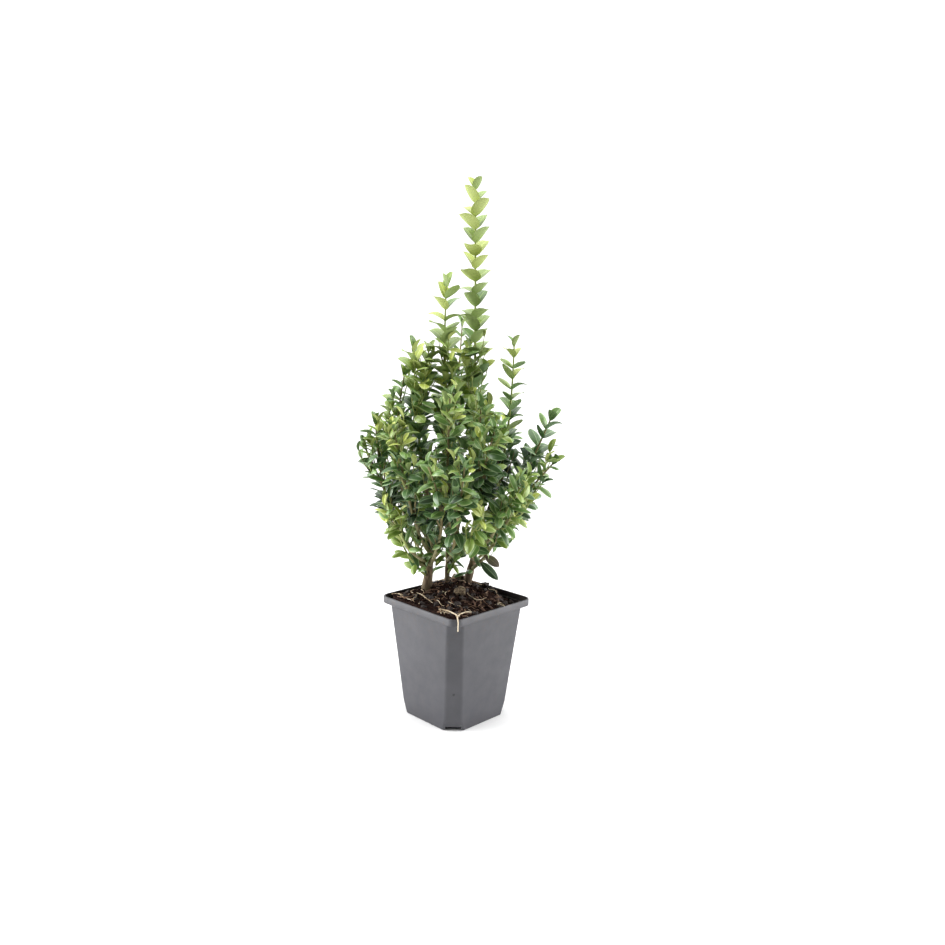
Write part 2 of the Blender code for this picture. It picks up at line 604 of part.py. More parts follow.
class Growth:
    """One mass as it grows: its parts so far, and the room that it has to itself.

    Its room is all that is nearer its own stem and forks than any other mass's, and clear of every limb.
    """

    def __init__(self, name, skeletons, wood, seed):
        self.rng = random.Random(seed)
        self.own = skeletons[name]
        self.others = np.concatenate([rows for other, rows in skeletons.items() if other != name])
        self.wood = wood
        self.parts = []
        self.taken = []
        self.twigs = 0

    def add(self, shape):
        self.parts.append((shape[0], outward(*shape)))

    def holds(self, verts, faces):
        """True if the shape keeps to this room and clear of every limb."""
        points = [tuple(v) for v in verts]
        for face in faces:
            points += [tuple((verts[a] + verts[b]) / 2.0) for a, b in zip(face, face[1:] + face[:1])]
        cloud = np.array(points)
        if cloud[:, 2].min() < LEAF_LOWEST:
            return False
        if (nearest(cloud, self.own) + SPACE_MARGIN > nearest(cloud, self.others)).any():
            return False
        away = np.sqrt(((cloud[:, None, :] - self.wood[None, :, :3]) ** 2).sum(axis=2))
        return bool((away - self.wood[None, :, 3] > LIMB_MARGIN).all())

    def free(self, shape, partner=None):
        """True if the shape crosses nothing that the mass already has, its partner apart."""
        tree = BVHTree.FromPolygons(*shape)
        return not any(tree.overlap(other) for key, other in self.taken if key != partner)

    def take(self, key, shape):
        self.taken.append((key, BVHTree.FromPolygons(*shape)))

    def twig_tube(self, path, radius, spin):
        return tube(path, radius, STEM_TIP_RADIUS, STEM_SIDES, spin, STEM_RING_SPACING)

    def try_leaf(self, path, t, angle, around, scale, partner):
        """Add a leaf, turned or shortened until it fits; its root is sunk past the twig's axis."""
        heading = path_heading(path, t)
        node = path_point(path, t)
        for turn, size in LEAF_TRIES:
            out = lean(path, t, angle, around + turn)
            length = LEAF_LENGTH * scale * size
            width = LEAF_WIDTH * scale * size
            shape = leaf(node - out * ROOT_SINK, out, heading, length, width, LEAF_CROWN)
            clear = leaf(node + out * ROOT_CLEAR - heading * LEAF_MARGIN, out, heading,
                         length - ROOT_CLEAR + LEAF_MARGIN, width + LEAF_MARGIN,
                         LEAF_CROWN + 2.0 * LEAF_MARGIN)
            if self.holds(*shape) and self.free(clear, partner):
                self.add(shape)
                self.take(partner, clear)
                return

    def leaf_pairs(self, path, scale, first, owner, spin, branching=False):
        """Pairs of leaves along a path, each pair a quarter turn on, with side twigs low down."""
        length = path_length(path)
        count = max(1, int((length - first) / (NODE_SPACING * (0.45 + 0.55 * scale))))
        for k in range(count + 1):
            last = k == count
            t = LAST_NODE if last else (first + k * (length * LAST_NODE - first) / count) / length
            angle = TIP_ANGLE if last else LEAF_ANGLE_LOW + (LEAF_ANGLE_HIGH - LEAF_ANGLE_LOW) * t
            low = t < TWIG_STRETCH and path_point(path, t).z < TWIG_HIGHEST
            branches = branching and low and self.rng.random() < TWIG_CHANCE
            for half in (0, 1):
                around = spin + k * math.pi / 2.0 + half * math.pi + self.rng.uniform(-JITTER, JITTER)
                size = scale * self.rng.uniform(0.9, 1.08) * (TIP_LEAF if last else 1.0)
                turned = angle + self.rng.uniform(-JITTER, JITTER)
                reach = self.rng.uniform(0.75, 1.15)
                if branches and self.twigs < MOST_TWIGS and self.side_twig(path, t, around, scale, reach):
                    self.twigs += 1
                else:
                    self.try_leaf(path, t, turned, around, size, (owner, k))

    def side_twig(self, path, t, around, scale, reach):
        """A short twig from the stem, turning up, with its own pairs of leaves, if it fits."""
        out = lean(path, t, TWIG_ANGLE, around)
        length = TWIG_LENGTH * reach * (1.0 - 0.35 * t)
        start = path_point(path, t)
        tip = start + out * length * 0.8 + UP * length * 0.25
        twig = (start, start + out * length * 0.5, tip)
        beyond = (path_point(twig, 0.2), twig[1], tip)
        clear = tube(beyond, TWIG_RADIUS + LEAF_MARGIN, STEM_TIP_RADIUS + LEAF_MARGIN, STEM_SIDES)
        if not self.holds(*clear) or not self.free(clear):
            return False
        spin = self.rng.uniform(0.0, math.pi / 2.0)
        self.add(self.twig_tube(twig, TWIG_RADIUS, spin))
        owner = "twig%d" % len(self.parts)
        self.take(owner, clear)
        self.leaf_pairs(twig, scale * TWIG_LEAF, TWIG_FIRST_NODE, owner, spin)
        return True

    def grow(self, mass):
        spin = self.rng.uniform(0.0, math.pi / 2.0)
        stem = stem_path(mass)
        forks = fork_paths(mass)
        self.add(self.twig_tube(stem, STEM_RADIUS, spin))
        for fork in forks:
            self.add(self.twig_tube(fork, TWIG_RADIUS, spin))
        first = FIRST_NODE if mass.height is None else SIDE_FIRST_NODE
        self.leaf_pairs(stem, mass.leaf, first, "stem", spin, branching=True)
        for index, fork in enumerate(forks):
            self.leaf_pairs(fork, mass.leaf * TWIG_LEAF, FORK_FIRST_NODE, "fork%d" % index, spin)


def keep_largest(mesh):
    """Drop loose scraps and the walls of sealed hollows: keep only the shell with the most faces."""
    shape = bmesh.new()
    shape.from_mesh(mesh)
    shells = []
    seen = set()
    for face in shape.faces:
        if face in seen:
            continue
        seen.add(face)
        shell = [face]
        for current in shell:
            for edge in current.edges:
                fresh = [other for other in edge.link_faces if other not in seen]
                seen.update(fresh)
                shell.extend(fresh)
        shells.append(shell)
    shells.sort(key=len)
    for shell in shells[:-1]:
        bmesh.ops.delete(shape, geom=shell, context="FACES")
    shape.to_mesh(mesh)
    shape.free()


def fuse(name, parts, finish):
    """Join the parts of a mass into one solid with a single union on a collection."""
    group = bpy.data.collections.new("parts_of_" + name)
    bpy.context.scene.collection.children.link(group)
    body = mesh_object(name, *parts[0], finish)
    for index, part in enumerate(parts[1:]):
        item = mesh_object("%s_%d" % (name, index), *part)
        bpy.context.scene.collection.objects.unlink(item)
        group.objects.link(item)
    join = body.modifiers.new("join", "BOOLEAN")
    join.operation = "UNION"
    join.operand_type = "COLLECTION"
    join.collection = group
    join.solver = "MANIFOLD"
    apply_modifiers(body)
    for item in list(group.objects):
        bpy.data.objects.remove(item)
    bpy.data.collections.remove(group)
    keep_largest(body.data)
    return body


def make_masses(cutters, finish):
    skeletons = {}
    for name, mass in MASSES.items():
        paths = [stem_path(mass)] + fork_paths(mass)
        skeletons[name] = np.array([point for path in paths for point in sample_path(path, STEM_STEP)])
    wood = limb_samples()
    for index, (name, mass) in enumerate(MASSES.items()):
        growth = Growth(name, skeletons, wood, SEED + index)
        growth.grow(mass)
        body = fuse(name, growth.parts, finish)
        if mass.height is not None:
            cut_clear(body, cutters[mass.carrier])


def main():
    clear_scene()
    make_pot(material("moulded polypropylene", (0.20, 0.195, 0.205), 0.42))
    make_soil(material("peat compost", (0.035, 0.018, 0.012), 0.95))
    bark = material("boxwood bark", (0.16, 0.10, 0.055), 0.8)
    cutters = make_trunks(bark)
    make_boughs(cutters, bark)
    make_masses(cutters, material("boxwood leaves", (0.09, 0.22, 0.05), 0.45))


main()
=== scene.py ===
"""A young boxwood in a square nursery pot: its finishes and its fine growth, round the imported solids.

Metres, +Z up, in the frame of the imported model. The limbs and shoots follow the same rule as the solids:
three stems carry boughs, each bough goes on in a leafy shoot, and here the shoots branch into finer twigs.
"""

import json
import random
from collections import namedtuple
from math import atan, atan2, cos, hypot, inf, pi, radians, sin, sqrt, tan

import bmesh
import bpy
import numpy as np
from mathutils import Euler, Matrix, Vector, noise
from mathutils.bvhtree import BVHTree
from mathutils.kdtree import KDTree

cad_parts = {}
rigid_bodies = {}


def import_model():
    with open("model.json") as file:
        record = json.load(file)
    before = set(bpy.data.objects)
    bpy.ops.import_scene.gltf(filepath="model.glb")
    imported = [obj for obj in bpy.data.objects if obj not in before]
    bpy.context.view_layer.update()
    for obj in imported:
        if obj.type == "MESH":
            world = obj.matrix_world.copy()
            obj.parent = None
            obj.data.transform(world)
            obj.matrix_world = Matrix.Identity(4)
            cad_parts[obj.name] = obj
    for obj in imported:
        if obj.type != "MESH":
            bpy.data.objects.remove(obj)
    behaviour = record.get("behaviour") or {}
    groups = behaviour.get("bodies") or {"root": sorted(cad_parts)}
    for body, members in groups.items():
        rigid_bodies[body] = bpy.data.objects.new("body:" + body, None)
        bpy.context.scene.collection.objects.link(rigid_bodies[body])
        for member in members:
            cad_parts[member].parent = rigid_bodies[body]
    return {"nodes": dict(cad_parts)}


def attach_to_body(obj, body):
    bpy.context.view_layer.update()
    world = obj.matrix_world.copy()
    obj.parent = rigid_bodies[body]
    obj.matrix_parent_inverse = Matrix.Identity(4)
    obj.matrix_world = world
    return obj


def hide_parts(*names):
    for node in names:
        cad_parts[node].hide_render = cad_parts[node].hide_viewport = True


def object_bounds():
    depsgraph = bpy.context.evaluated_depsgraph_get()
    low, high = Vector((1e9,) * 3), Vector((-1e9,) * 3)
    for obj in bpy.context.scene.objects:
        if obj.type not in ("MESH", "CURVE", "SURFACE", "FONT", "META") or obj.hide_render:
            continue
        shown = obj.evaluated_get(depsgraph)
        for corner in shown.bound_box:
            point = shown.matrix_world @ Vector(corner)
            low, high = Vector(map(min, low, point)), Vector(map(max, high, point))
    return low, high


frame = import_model()
CAD_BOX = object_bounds()

BODY = "root"
MM = 0.001
GAP = 0.3 * MM
UP = Vector((0.0, 0.0, 1.0))
FULL_TURN = 2.0 * pi
SEED = 4107


def mm(x, y, z):
    return Vector((x, y, z)) * MM


# ---- Camera: a level studio view, a little above the pot ----
CAMERA_AWAY = 683.5 * MM
CAMERA_HEIGHT = 311.5 * MM
CAMERA_YAW = 0.016
CAMERA_PITCH = 0.157
CAMERA_ROLL = 0.024
FOCAL_SHARE = 855.0 / 945.0         # focal length over the width of the render
SENSOR = 36.0

# ---- Light ----
BACK_LIGHT = 1.45                   # the white backdrop, from behind and the sides
FRONT_LIGHT = 0.05                  # the dark room in front
FLOOR_RADIUS = 0.90
FLOOR_BACK = 0.57                   # the paper ends just in front of the pot, so the front is dark
FLOOR_DROP = 0.05 * MM
FLOOR_SIDES = 96
PLANT_MIDDLE = Vector((0.0, 0.0, 0.2))
Lamp = namedtuple("Lamp", "place size energy")
LAMPS = {
    "left_softbox": Lamp(Vector((-1.35, -0.10, 0.42)), 1.3, 27.0),
    "right_softbox": Lamp(Vector((1.35, -0.05, 0.42)), 1.3, 21.0),
    "top_softbox": Lamp(Vector((-0.10, -0.05, 1.50)), 1.1, 13.0),
}

# ---- Pot ----
POT_HEIGHT = 99.0 * MM
POT_TURN = radians(44.5)
RIM_SIDE = 90.0 * MM
RIM_CORNER = 8.4 * MM
RIM_BAND = 5.6 * MM
RIM_LIP = 1.5 * MM
RIM_ROUND = 0.55 * MM
BODY_TOP_SIDE = 84.7 * MM
BODY_BASE_SIDE = 67.3 * MM
CORNER_FLAT_TOP = 12.7 * MM
CORNER_FLAT_LOW = 13.3 * MM
CORNER_FLAT_BASE = 16.6 * MM
CORNER_SLOPE_HEIGHT = 11.0 * MM
CORNER_FILLET = 4.2 * MM
CORNER_POINTS = 12
POT_WALL = 1.2 * MM
POT_FLOOR = 1.4 * MM
NOTCH_WIDTH = 12.7 * MM
NOTCH_HEIGHT = 3.4 * MM
NOTCH_DEPTH = 12.0 * MM
DRAIN_WIDTH = 7.0 * MM
DRAIN_DEPTH = 3.0 * MM
POT_SHARP = radians(38.0)           # edges that turn by more than this look sharp
GATE_HEIGHT = 32.5 * MM
GATE_RADIUS = 1.1 * MM
GATE_SIDES = 16
# The rings of the mark: their radius as a share, and how far they stand off the wall, in millimetres.
GATE_RINGS = ((1.0, -0.2), (1.0, 0.05), (0.8, 0.22), (0.45, 0.28), (0.35, 0.10))

# ---- Compost ----
SOIL_EDGE_LEVEL = 92.5 * MM
SOIL_SIDE_FALL = 0.04
SOIL_MOUND = 13.5 * MM
SOIL_MOUND_CENTRE = Vector((1.0, 17.0, 0.0)) * MM
SOIL_MOUND_REACH = 60.0 * MM
SOIL_ROUND = 44.0 * MM
SOIL_BOTTOM = 5.2 * MM
SOIL_SKIRT = 5.0 * MM               # how far below its edge the rough top starts
SOIL_RINGS = 46
SOIL_HEAP = 4.8 * MM                # it is heaped to the rim along the front left wall
SOIL_HEAP_TOWARDS = Vector((-0.60, -0.80, 0.0))
SOIL_HEAP_REACH = 45.0 * MM
SOIL_LUMP = 1.5 * MM
SOIL_LUMP_SIZE = 7.0 * MM
SEAT_SINK = 0.9 * MM

# ---- Wood ----
FLARE = 0.28
FLARE_HEIGHT = 26.0 * MM
BOUGH_SPREAD = 0.62
BOUGH_RISE = 0.40
STEM_REACH = 0.4                    # how long a stem keeps its carrier's heading
FORK_SHARE = 0.3                    # where a fork leaves its stem,
FORK_REACH = 0.35                   # and how long it keeps the stem's heading

# ---- Leaves: opposite pairs, each pair a quarter turn on ----
LEAF_LENGTH = 18.6 * MM
LEAF_WIDTH = 7.9 * MM
LEAF_LOWEST = 108.0 * MM
BARE_RIGHT = (9.0 * MM, 26.0 * MM, 32.0 * MM)   # the crown's foot rises from here, over this run, by this
FIRST_NODE = 5.0 * MM
SIDE_FIRST_NODE = 14.0 * MM
TWIG_FIRST_NODE = 5.5 * MM
CROWDING = 0.12                     # how much closer the pairs stand towards the tip
ROOT_SINK = 0.1 * MM
JITTER = 0.16
TIP_SIZES = (0.66, 0.88, 1.0)       # the last pair of a shoot, the next, and all others
SIZE_SPREAD = (0.90, 1.10)
WIDTH_SPREAD = (0.92, 1.08)
AGE_SPREAD = 0.45                   # how much the age differs from leaf to leaf, in tones
BUD_SIZE = 0.36
BUD_ANGLE = 0.12
LEAF_AT_TWIG = 0.4                  # how often a leaf stands on under a twig
# A leaf that finds no room tries again: how far round, how much smaller and how much further open.
TRIES = ((0.0, 1.0, 0.0), (0.35, 0.95, 0.1), (-0.35, 0.95, 0.1), (0.0, 0.9, -0.2), (0.7, 0.9, 0.2),
         (-0.7, 0.9, 0.2), (0.0, 0.8, 0.3))

# ---- Twigs ----
STEM_RADIUS = 1.3 * MM
TWIG_RADIUS = 0.75 * MM
FINE_RADIUS = 0.55 * MM
TIP_RADIUS = 0.32 * MM
STEM_TIP_RADIUS = 0.6 * MM
TWIG_ANGLE = radians(32.0)
TWIG_ANGLE_SPREAD = (-0.15, 0.2)
TWIG_OUT = 0.45                     # a twig runs outwards for this share of its length
TWIG_UP = 0.60                      # and then turns up by this share
TWIG_LAST = 0.84                    # how far along a shoot twigs still spring
TWIG_HIGHEST = 290.0 * MM
TWIG_TOPS = {"right_spire": 208.0 * MM, "back_right": 222.0 * MM, "far_right": 206.0 * MM}
# Twigs of the first and second order: how often one springs, how long it may be, and how many to a shoot.
TWIG_ORDERS = ((0.80, 34.0 * MM, 12), (0.45, 17.0 * MM, 4))
TWIG_LENGTHS = (0.62, 1.12)         # shares of that length,
TWIG_TAPER = 0.42                   # less up to this share towards the shoot's tip
TWIG_YOUNGER = 2.0                  # its leaves are up to so much younger than the shoot's,
FLUSH = (0.18, 1.6)                 # and so often by so much more
WOODY_AGE = 2.4                     # from this age on a twig's skin is tan and dull
POINT_STEP = 2.0 * MM
SPUR_SPACING = 4.5 * MM             # along a bough
SPUR_SHARES = (0.30, 0.92)          # from this share of it to this
SPUR_LENGTHS = (11.0, 24.0)         # in millimetres
SPUR_OPEN = 0.4                     # how much further than a twig it may open
SPUR_SIZE = 0.9
SPUR_OLD = 3.0
SPUR_YOUNG = (0.6, 2.8)
SPUR_LOWEST = 110.0 * MM
TRUNK_SPURS = (110.0 * MM, 146.0 * MM)
TRUNK_SPUR_SPACING = 3.5 * MM
REACH_MARGIN = 8.0 * MM             # how far a leaf or twig may stand off the solid it stands for
SPUR_REACH = 15.0 * MM              # and off the bough that bears it,
LOW_SPUR_REACH = 9.0 * MM           # or less near the foot of the crown,
LOW_SPUR_HEIGHT = 130.0 * MM        # below this height
HIGH_SPUR_HEIGHT = 175.0 * MM
OUTER_MARGIN = 4.0 * MM             # and how much further out from the plant's middle than that solid,
SPIRE_MARGIN = 11.5 * MM            # or for the main shoots with a habit of their own
CROWN_MIDDLE = Vector((-2.0, 8.0, 0.0)) * MM
BOX_MARGIN = mm(1.5, 1.5, 1.5)      # how far past the solids' box the crown may reach
LIMB_GAP = 0.4 * MM                 # how near a leaf or twig may come to a trunk or bough
TWIG_ROOM = 4.6 * MM                # how near one twig may run to another
LEAF_ROOM = 0.9 * MM                # how near a leaf may lie to a twig of another shoot
NEIGHBOURS = 1.1 * LEAF_LENGTH      # leaves further off than this can't touch

# A trunk bows off the straight line by "bow" at its middle; its foot stands at ground level.
Trunk = namedtuple("Trunk", "foot top bow radius end_radius")
TRUNKS = {
    "trunk_left": Trunk(mm(-25.5, 12, 0), mm(-27, 6, 190), mm(4, -1, 0), 3.5 * MM, 1.5 * MM),
    "trunk_middle": Trunk(mm(-8.2, 22, 0), mm(-11.5, 12, 222), mm(1, 3, 0), 1.8 * MM, 1.2 * MM),
    "trunk_right": Trunk(mm(8.8, 26, 0), mm(12, 19, 214), mm(7, 1, 0), 3.0 * MM, 1.5 * MM),
}

# The boughs of each trunk, in millimetres: the height at which one springs, its end, where it enters its
# mass, and its radius at both ends.
BOUGH_ROWS = {
    "trunk_left": (
        ("bough_far_left", 117, (-51, -2, 160), 2.0, 1.3),
        ("bough_left_inner", 122, (-14, -20, 154), 1.7, 1.2),
        ("bough_left_low", 125, (-37, -13, 140), 1.4, 1.1),
        ("bough_left_back_low", 124, (-40, 24, 148), 1.4, 1.1),
        ("bough_left_front", 133, (-33, -17, 162), 1.6, 1.2),
        ("bough_left_back", 136, (-30, 28, 164), 1.6, 1.2),
        ("bough_left_shoulder", 144, (-42, 9, 176), 1.6, 1.2)),
    "trunk_middle": (
        ("bough_front", 124, (-3, -20, 147), 1.3, 1.1),
        ("bough_back", 132, (-7, 42, 157), 1.3, 1.1),
        ("bough_front_upper", 148, (-9, -9, 182), 1.3, 1.1)),
    "trunk_right": (
        ("bough_right_low", 115, (30, 0, 146), 1.7, 1.2),
        ("bough_lower_front", 124, (11, -10, 141), 1.4, 1.1),
        ("bough_right_back_low", 122, (37, 30, 146), 1.4, 1.1),
        ("bough_right_front", 131, (29, -16, 158), 1.6, 1.2),
        ("bough_right_back", 134, (28, 38, 164), 1.6, 1.2),
        ("bough_right_mid", 136, (43, -3, 170), 1.6, 1.2),
        ("bough_right_spire", 152, (31, 9, 190), 1.7, 1.2),
        ("bough_far_right", 143, (45, 9, 182), 1.6, 1.2),
        ("bough_centre_right", 160, (18, -8, 186), 1.5, 1.1)),
}
Bough = namedtuple("Bough", "trunk height end radius end_radius")
BOUGHS = {name: Bough(trunk, height * MM, mm(*end), radius * MM, end_radius * MM)
          for trunk, rows in BOUGH_ROWS.items() for name, height, end, radius, end_radius in rows}

# A mass goes on from the end of its carrier, or springs from a trunk's side at a height.
# "old" and "young" are the age of its leaves at the foot and at the tip of its stem, counted in the tones
# listed below, "leaf" their size as a share and "broad" their width as a share. "bow" is how far the middle
# of its stem stands off its course.
Mass = namedtuple("Mass", "carrier tip old young leaf broad forks height bow",
                  defaults=(1.0, 1.0, (), None, Vector()))
MASSES = {
    "leader": Mass("trunk_right", mm(8, 4, 427), 2.3, 0.0, 0.98, 1.85, bow=mm(9, 0, 0)),
    "second_spire": Mass("trunk_middle", mm(-13, -5, 351), 3.0, 0.4, 1.02, 1.50),
    "left_spire": Mass("trunk_left", mm(-37, -12, 300), 3.0, 0.8, 1.04, 1.30, (mm(-26, 2, 300),)),
    "far_left": Mass("bough_far_left", mm(-67, -6, 242), 4.4, 1.4, 0.95, forks=(mm(-74, -8, 221),)),
    "front_left": Mass("bough_left_inner", mm(-23, -60, 217), 3.9, 2.1),
    "left_low": Mass("bough_left_low", mm(-56, -28, 184), 1.9, 0.8, 0.92, forks=(mm(-46, -16, 162),)),
    "left_back_low": Mass("bough_left_back_low", mm(-61, 36, 208), 4.2, 2.4),
    "left_front": Mass("bough_left_front", mm(-50, -42, 242), 4.0, 1.5),
    "back_left": Mass("bough_left_back", mm(-43, 47, 252), 4.2, 2.4),
    "left_shoulder": Mass("bough_left_shoulder", mm(-57, 3, 250), 3.8, 1.8, 1.00, 1.1, (mm(-45, -2, 280),)),
    "front_centre": Mass("bough_front", mm(4, -62, 217), 4.2, 2.1),
    "back_centre": Mass("bough_back", mm(-6, 67, 238), 4.2, 2.4),
    "front_upper": Mass("bough_front_upper", mm(-8, -37, 266), 3.8, 1.6),
    "right_low": Mass("bough_right_low", mm(52, -22, 181), 2.2, 0.7, 0.95, forks=(mm(41, -9, 163),)),
    "lower_front": Mass("bough_lower_front", mm(12, -48, 174), 2.5, 1.1, 0.95),
    "right_back_low": Mass("bough_right_back_low", mm(60, 36, 204), 4.2, 2.4),
    "right_front": Mass("bough_right_front", mm(52, -46, 208), 3.4, 1.3),
    "back_right": Mass("bough_right_back", mm(43, 50, 250), 4.2, 2.4),
    "right_mid": Mass("bough_right_mid", mm(74, -15, 214), 3.9, 1.8),
    "right_spire": Mass("bough_right_spire", mm(41.5, 0, 306), 3.8, 0.3, 0.90, 1.25),
    "far_right": Mass("bough_far_right", mm(72, -4, 248), 4.0, 2.2, 1.05, 1.30),
    "centre_right": Mass("bough_centre_right", mm(26, -44, 242), 3.7, 1.9, 1.0, 1.08),
    "lower_left": Mass("trunk_left", mm(-46, -12, 149), 1.6, 0.8, 0.85, height=112 * MM),
    "lower_inner": Mass("trunk_left", mm(-16, 24, 146), 2.3, 1.2, 0.80, height=113 * MM),
    "lower_middle": Mass("trunk_middle", mm(3, 8, 142), 2.3, 1.2, 0.80, height=112 * MM),
    "right_shoulder": Mass("trunk_right", mm(16, -12, 258), 3.6, 1.6, height=194 * MM),
    "back_upper": Mass("trunk_middle", mm(0, 33, 321), 3.6, 1.6, 0.95, height=188 * MM),
    "back_inner": Mass("trunk_right", mm(18, 30, 264), 4.0, 2.2, height=203 * MM),
}

# How the main shoots of a mass bear their leaves, where it isn't the common way: the spacing of the pairs,
# which way the first pair faces, off the line of sight, how far the last, next and other pairs open from the
# stem in degrees, and the forms of their young and grown leaves.
Habit = namedtuple("Habit", "pace spin open young grown")
COMMON = Habit(7.6 * MM, None, (17.0, 31.0, 43.0), (4, 5), (0, 1, 1, 2, 2, 3, 3, 6))
HABITS = {
    "leader": Habit(9.4 * MM, 0.80, (19.0, 28.0, 38.0), (7,), (7, 8, 8, 9)),
    "second_spire": Habit(8.4 * MM, 0.75, (16.0, 27.0, 38.0), (7,), (8, 9, 9, 1)),
    "left_spire": Habit(7.4 * MM, 1.00, (16.0, 28.0, 38.0), (7,), (8, 9, 9, 1)),
    "right_spire": Habit(7.8 * MM, 0.85, (18.0, 28.0, 37.0), (4, 5), (0, 9, 1, 6)),
    "far_left": Habit(8.0 * MM, 0.60, (18.0, 30.0, 42.0), (4, 5), (0, 9, 1, 3)),
    "far_right": Habit(7.6 * MM, 0.95, (16.0, 27.0, 38.0), (5,), (0, 1, 9, 6)),
}
SIDE_PACE = COMMON.pace * 0.9       # on spurs and twigs

# A tone is one age of leaf: its upper face, its underside, and its midrib and margin, whose paleness is
# partly painted highlight.
Tone = namedtuple("Tone", "upper under pale rough")
TONES = {
    "lime": Tone("#B0BE54", "#A4B066", "#CBD68C", 0.42),
    "spring": Tone("#88A24A", "#8C9F60", "#B2C27C", 0.40),
    "fresh": Tone("#688C44", "#718C59", "#A8BE80", 0.38),
    "meadow": Tone("#4C6E3C", "#617E56", "#98B282", 0.36),
    "deep": Tone("#364D30", "#4E6648", "#86A07A", 0.34),
    # the oldest leaves, with a painted sheen: blue-grey for the white surroundings reflected in their wax
    "dusk": Tone("#56685F", "#74857A", "#9EADA0", 0.32),
    "bronze": Tone("#6A6054", "#827A6C", "#8F8878", 0.42),
}
AGES = ("lime", "spring", "fresh", "meadow", "deep", "dusk")

# Single leaves on the trunks themselves: the lowest and highest, and how many to try.
TRUNK_LEAVES = {
    "trunk_left": (132, 142, 4),
    "trunk_middle": (118, 136, 14),
    "trunk_right": (112, 134, 22),
}
TRUNK_DROOP = 3.0 * MM              # how far below the crown's foot they may hang
TRUNK_LEAF_ANGLES = (50.0, 95.0)
TRUNK_LEAF_SIZES = (0.6, 0.95)
TRUNK_LEAF_TONES = ("fresh", "meadow", "meadow", "deep", "dusk")
TRUNK_LEAF_FORMS = (0, 1, 6)

# A stray leaf hangs by itself from a bare stretch of bough: its root, its tip and its tone.
STRAYS = (
    (mm(-39.5, 4.0, 136.0), mm(-32.5, -8.0, 124.5), "meadow"),
    (mm(23.6, 8.6, 132.3), mm(33.5, -3.0, 127.6), "bronze"),
    (mm(19.6, 13.6, 125.6), mm(33.7, 0.0, 115.4), "deep"),
)
STRAY_FACE = Vector((-0.1, -1.0, 0.5))


# ======== small helpers

def clamp(share):
    return min(1.0, max(0.0, share))


def smooth_fall(share):
    """From 1 where the share is 0 down to 0 where it is 1."""
    share = clamp(share)
    return 1.0 - share * share * (3.0 - 2.0 * share)


def turn_z(angle):
    return Matrix.Rotation(angle, 3, "Z")


def colour(hex_code):
    """An sRGB hex colour as linear RGBA."""
    parts = [int(hex_code[k:k + 2], 16) / 255.0 for k in (1, 3, 5)]
    return tuple(c / 12.92 if c <= 0.04045 else ((c + 0.055) / 1.055) ** 2.4 for c in parts) + (1.0,)


def add_object(name, data, group=None):
    """An object in a collection, or else in the scene's own."""
    item = bpy.data.objects.new(name, data)
    (group or bpy.context.scene.collection).objects.link(item)
    return item


def mesh_object(name, verts, faces, finish=None, edges=(), group=None):
    mesh = bpy.data.meshes.new(name)
    mesh.from_pydata([tuple(v) for v in verts], list(edges), faces)
    mesh.update()
    if faces:
        mesh.shade_smooth()
    if finish:
        mesh.materials.append(finish)
    return add_object(name, mesh, group)


def add_marks(item, name, kind, values, domain="POINT", field="value"):
    """Give each point or face of a mesh a named value."""
    item.data.attributes.new(name, kind, domain).data.foreach_set(field, values)


def plain_mesh(item):
    """Replace the object's mesh by what its modifiers make of it."""
    bpy.context.view_layer.update()
    graph = bpy.context.evaluated_depsgraph_get()
    mesh = bpy.data.meshes.new_from_object(item.evaluated_get(graph))
    item.modifiers.clear()
    item.data = mesh


def remove(*items):
    for item in items:
        bpy.data.objects.remove(item)


def remove_group(group):
    remove(*group.objects)
    bpy.data.collections.remove(group)


def attach(piece, slot, *nodes):
    """Fix a finished piece to the plant's body and hide the nodes that it stands for; its finish slot is not
    used.
    """
    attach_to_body(piece, BODY)
    if nodes:
        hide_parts(*nodes)


# ======== node trees

def node(tree, kind, links=None, out=0, **settings):
    """Add a node and give back one of its outputs. A link is a value or another node's output."""
    made = tree.nodes.new(kind)
    for key, value in settings.items():
        setattr(made, key, value)
    for key, value in (links or {}).items():
        if isinstance(value, bpy.types.NodeSocket):
            tree.links.new(value, made.inputs[key])
        else:
            made.inputs[key].default_value = value
    return made.outputs[out] if made.outputs else None


def maths(tree, operation, first, second, kind="ShaderNodeMath"):
    key = "Scale" if operation == "SCALE" else 1
    return node(tree, kind, {0: first, key: second}, operation=operation)


def vectors(tree, operation, first, second):
    return maths(tree, operation, first, second, "ShaderNodeVectorMath")


def noise_on(tree, place, size, detail=3.0, roughness=0.55):
    """A noise pattern with features of a size in metres."""
    return node(tree, "ShaderNodeTexNoise", {"Vector": place, "Scale": 1.0 / size, "Detail": detail,
                                             "Roughness": roughness})


def read_marks(tree, name, kind):
    return node(tree, "GeometryNodeInputNamedAttribute", {"Name": name}, data_type=kind)


def geometry_tree(name, **inputs):
    """A geometry tree with named inputs, and the outputs of its input node."""
    tree = bpy.data.node_groups.new(name, "GeometryNodeTree")
    tree.interface.new_socket(name="Geometry", in_out="OUTPUT", socket_type="NodeSocketGeometry")
    for label, kind in (("Geometry", "Geometry"), *inputs.items()):
        tree.interface.new_socket(name=label, in_out="INPUT", socket_type="NodeSocket" + kind)
    return tree, node(tree, "NodeGroupInput").node.outputs


def stand_forms(tree, group, points, number, turn, size):
    """Stand the forms of a collection on points, each by its number."""
    forms = node(tree, "GeometryNodeCollectionInfo", {"Collection": group, "Separate Children": True,
                                                      "Reset Children": True})
    return node(tree, "GeometryNodeInstanceOnPoints", {
        "Points": points, "Instance": forms, "Pick Instance": True, "Instance Index": number,
        "Rotation": turn, "Scale": size})


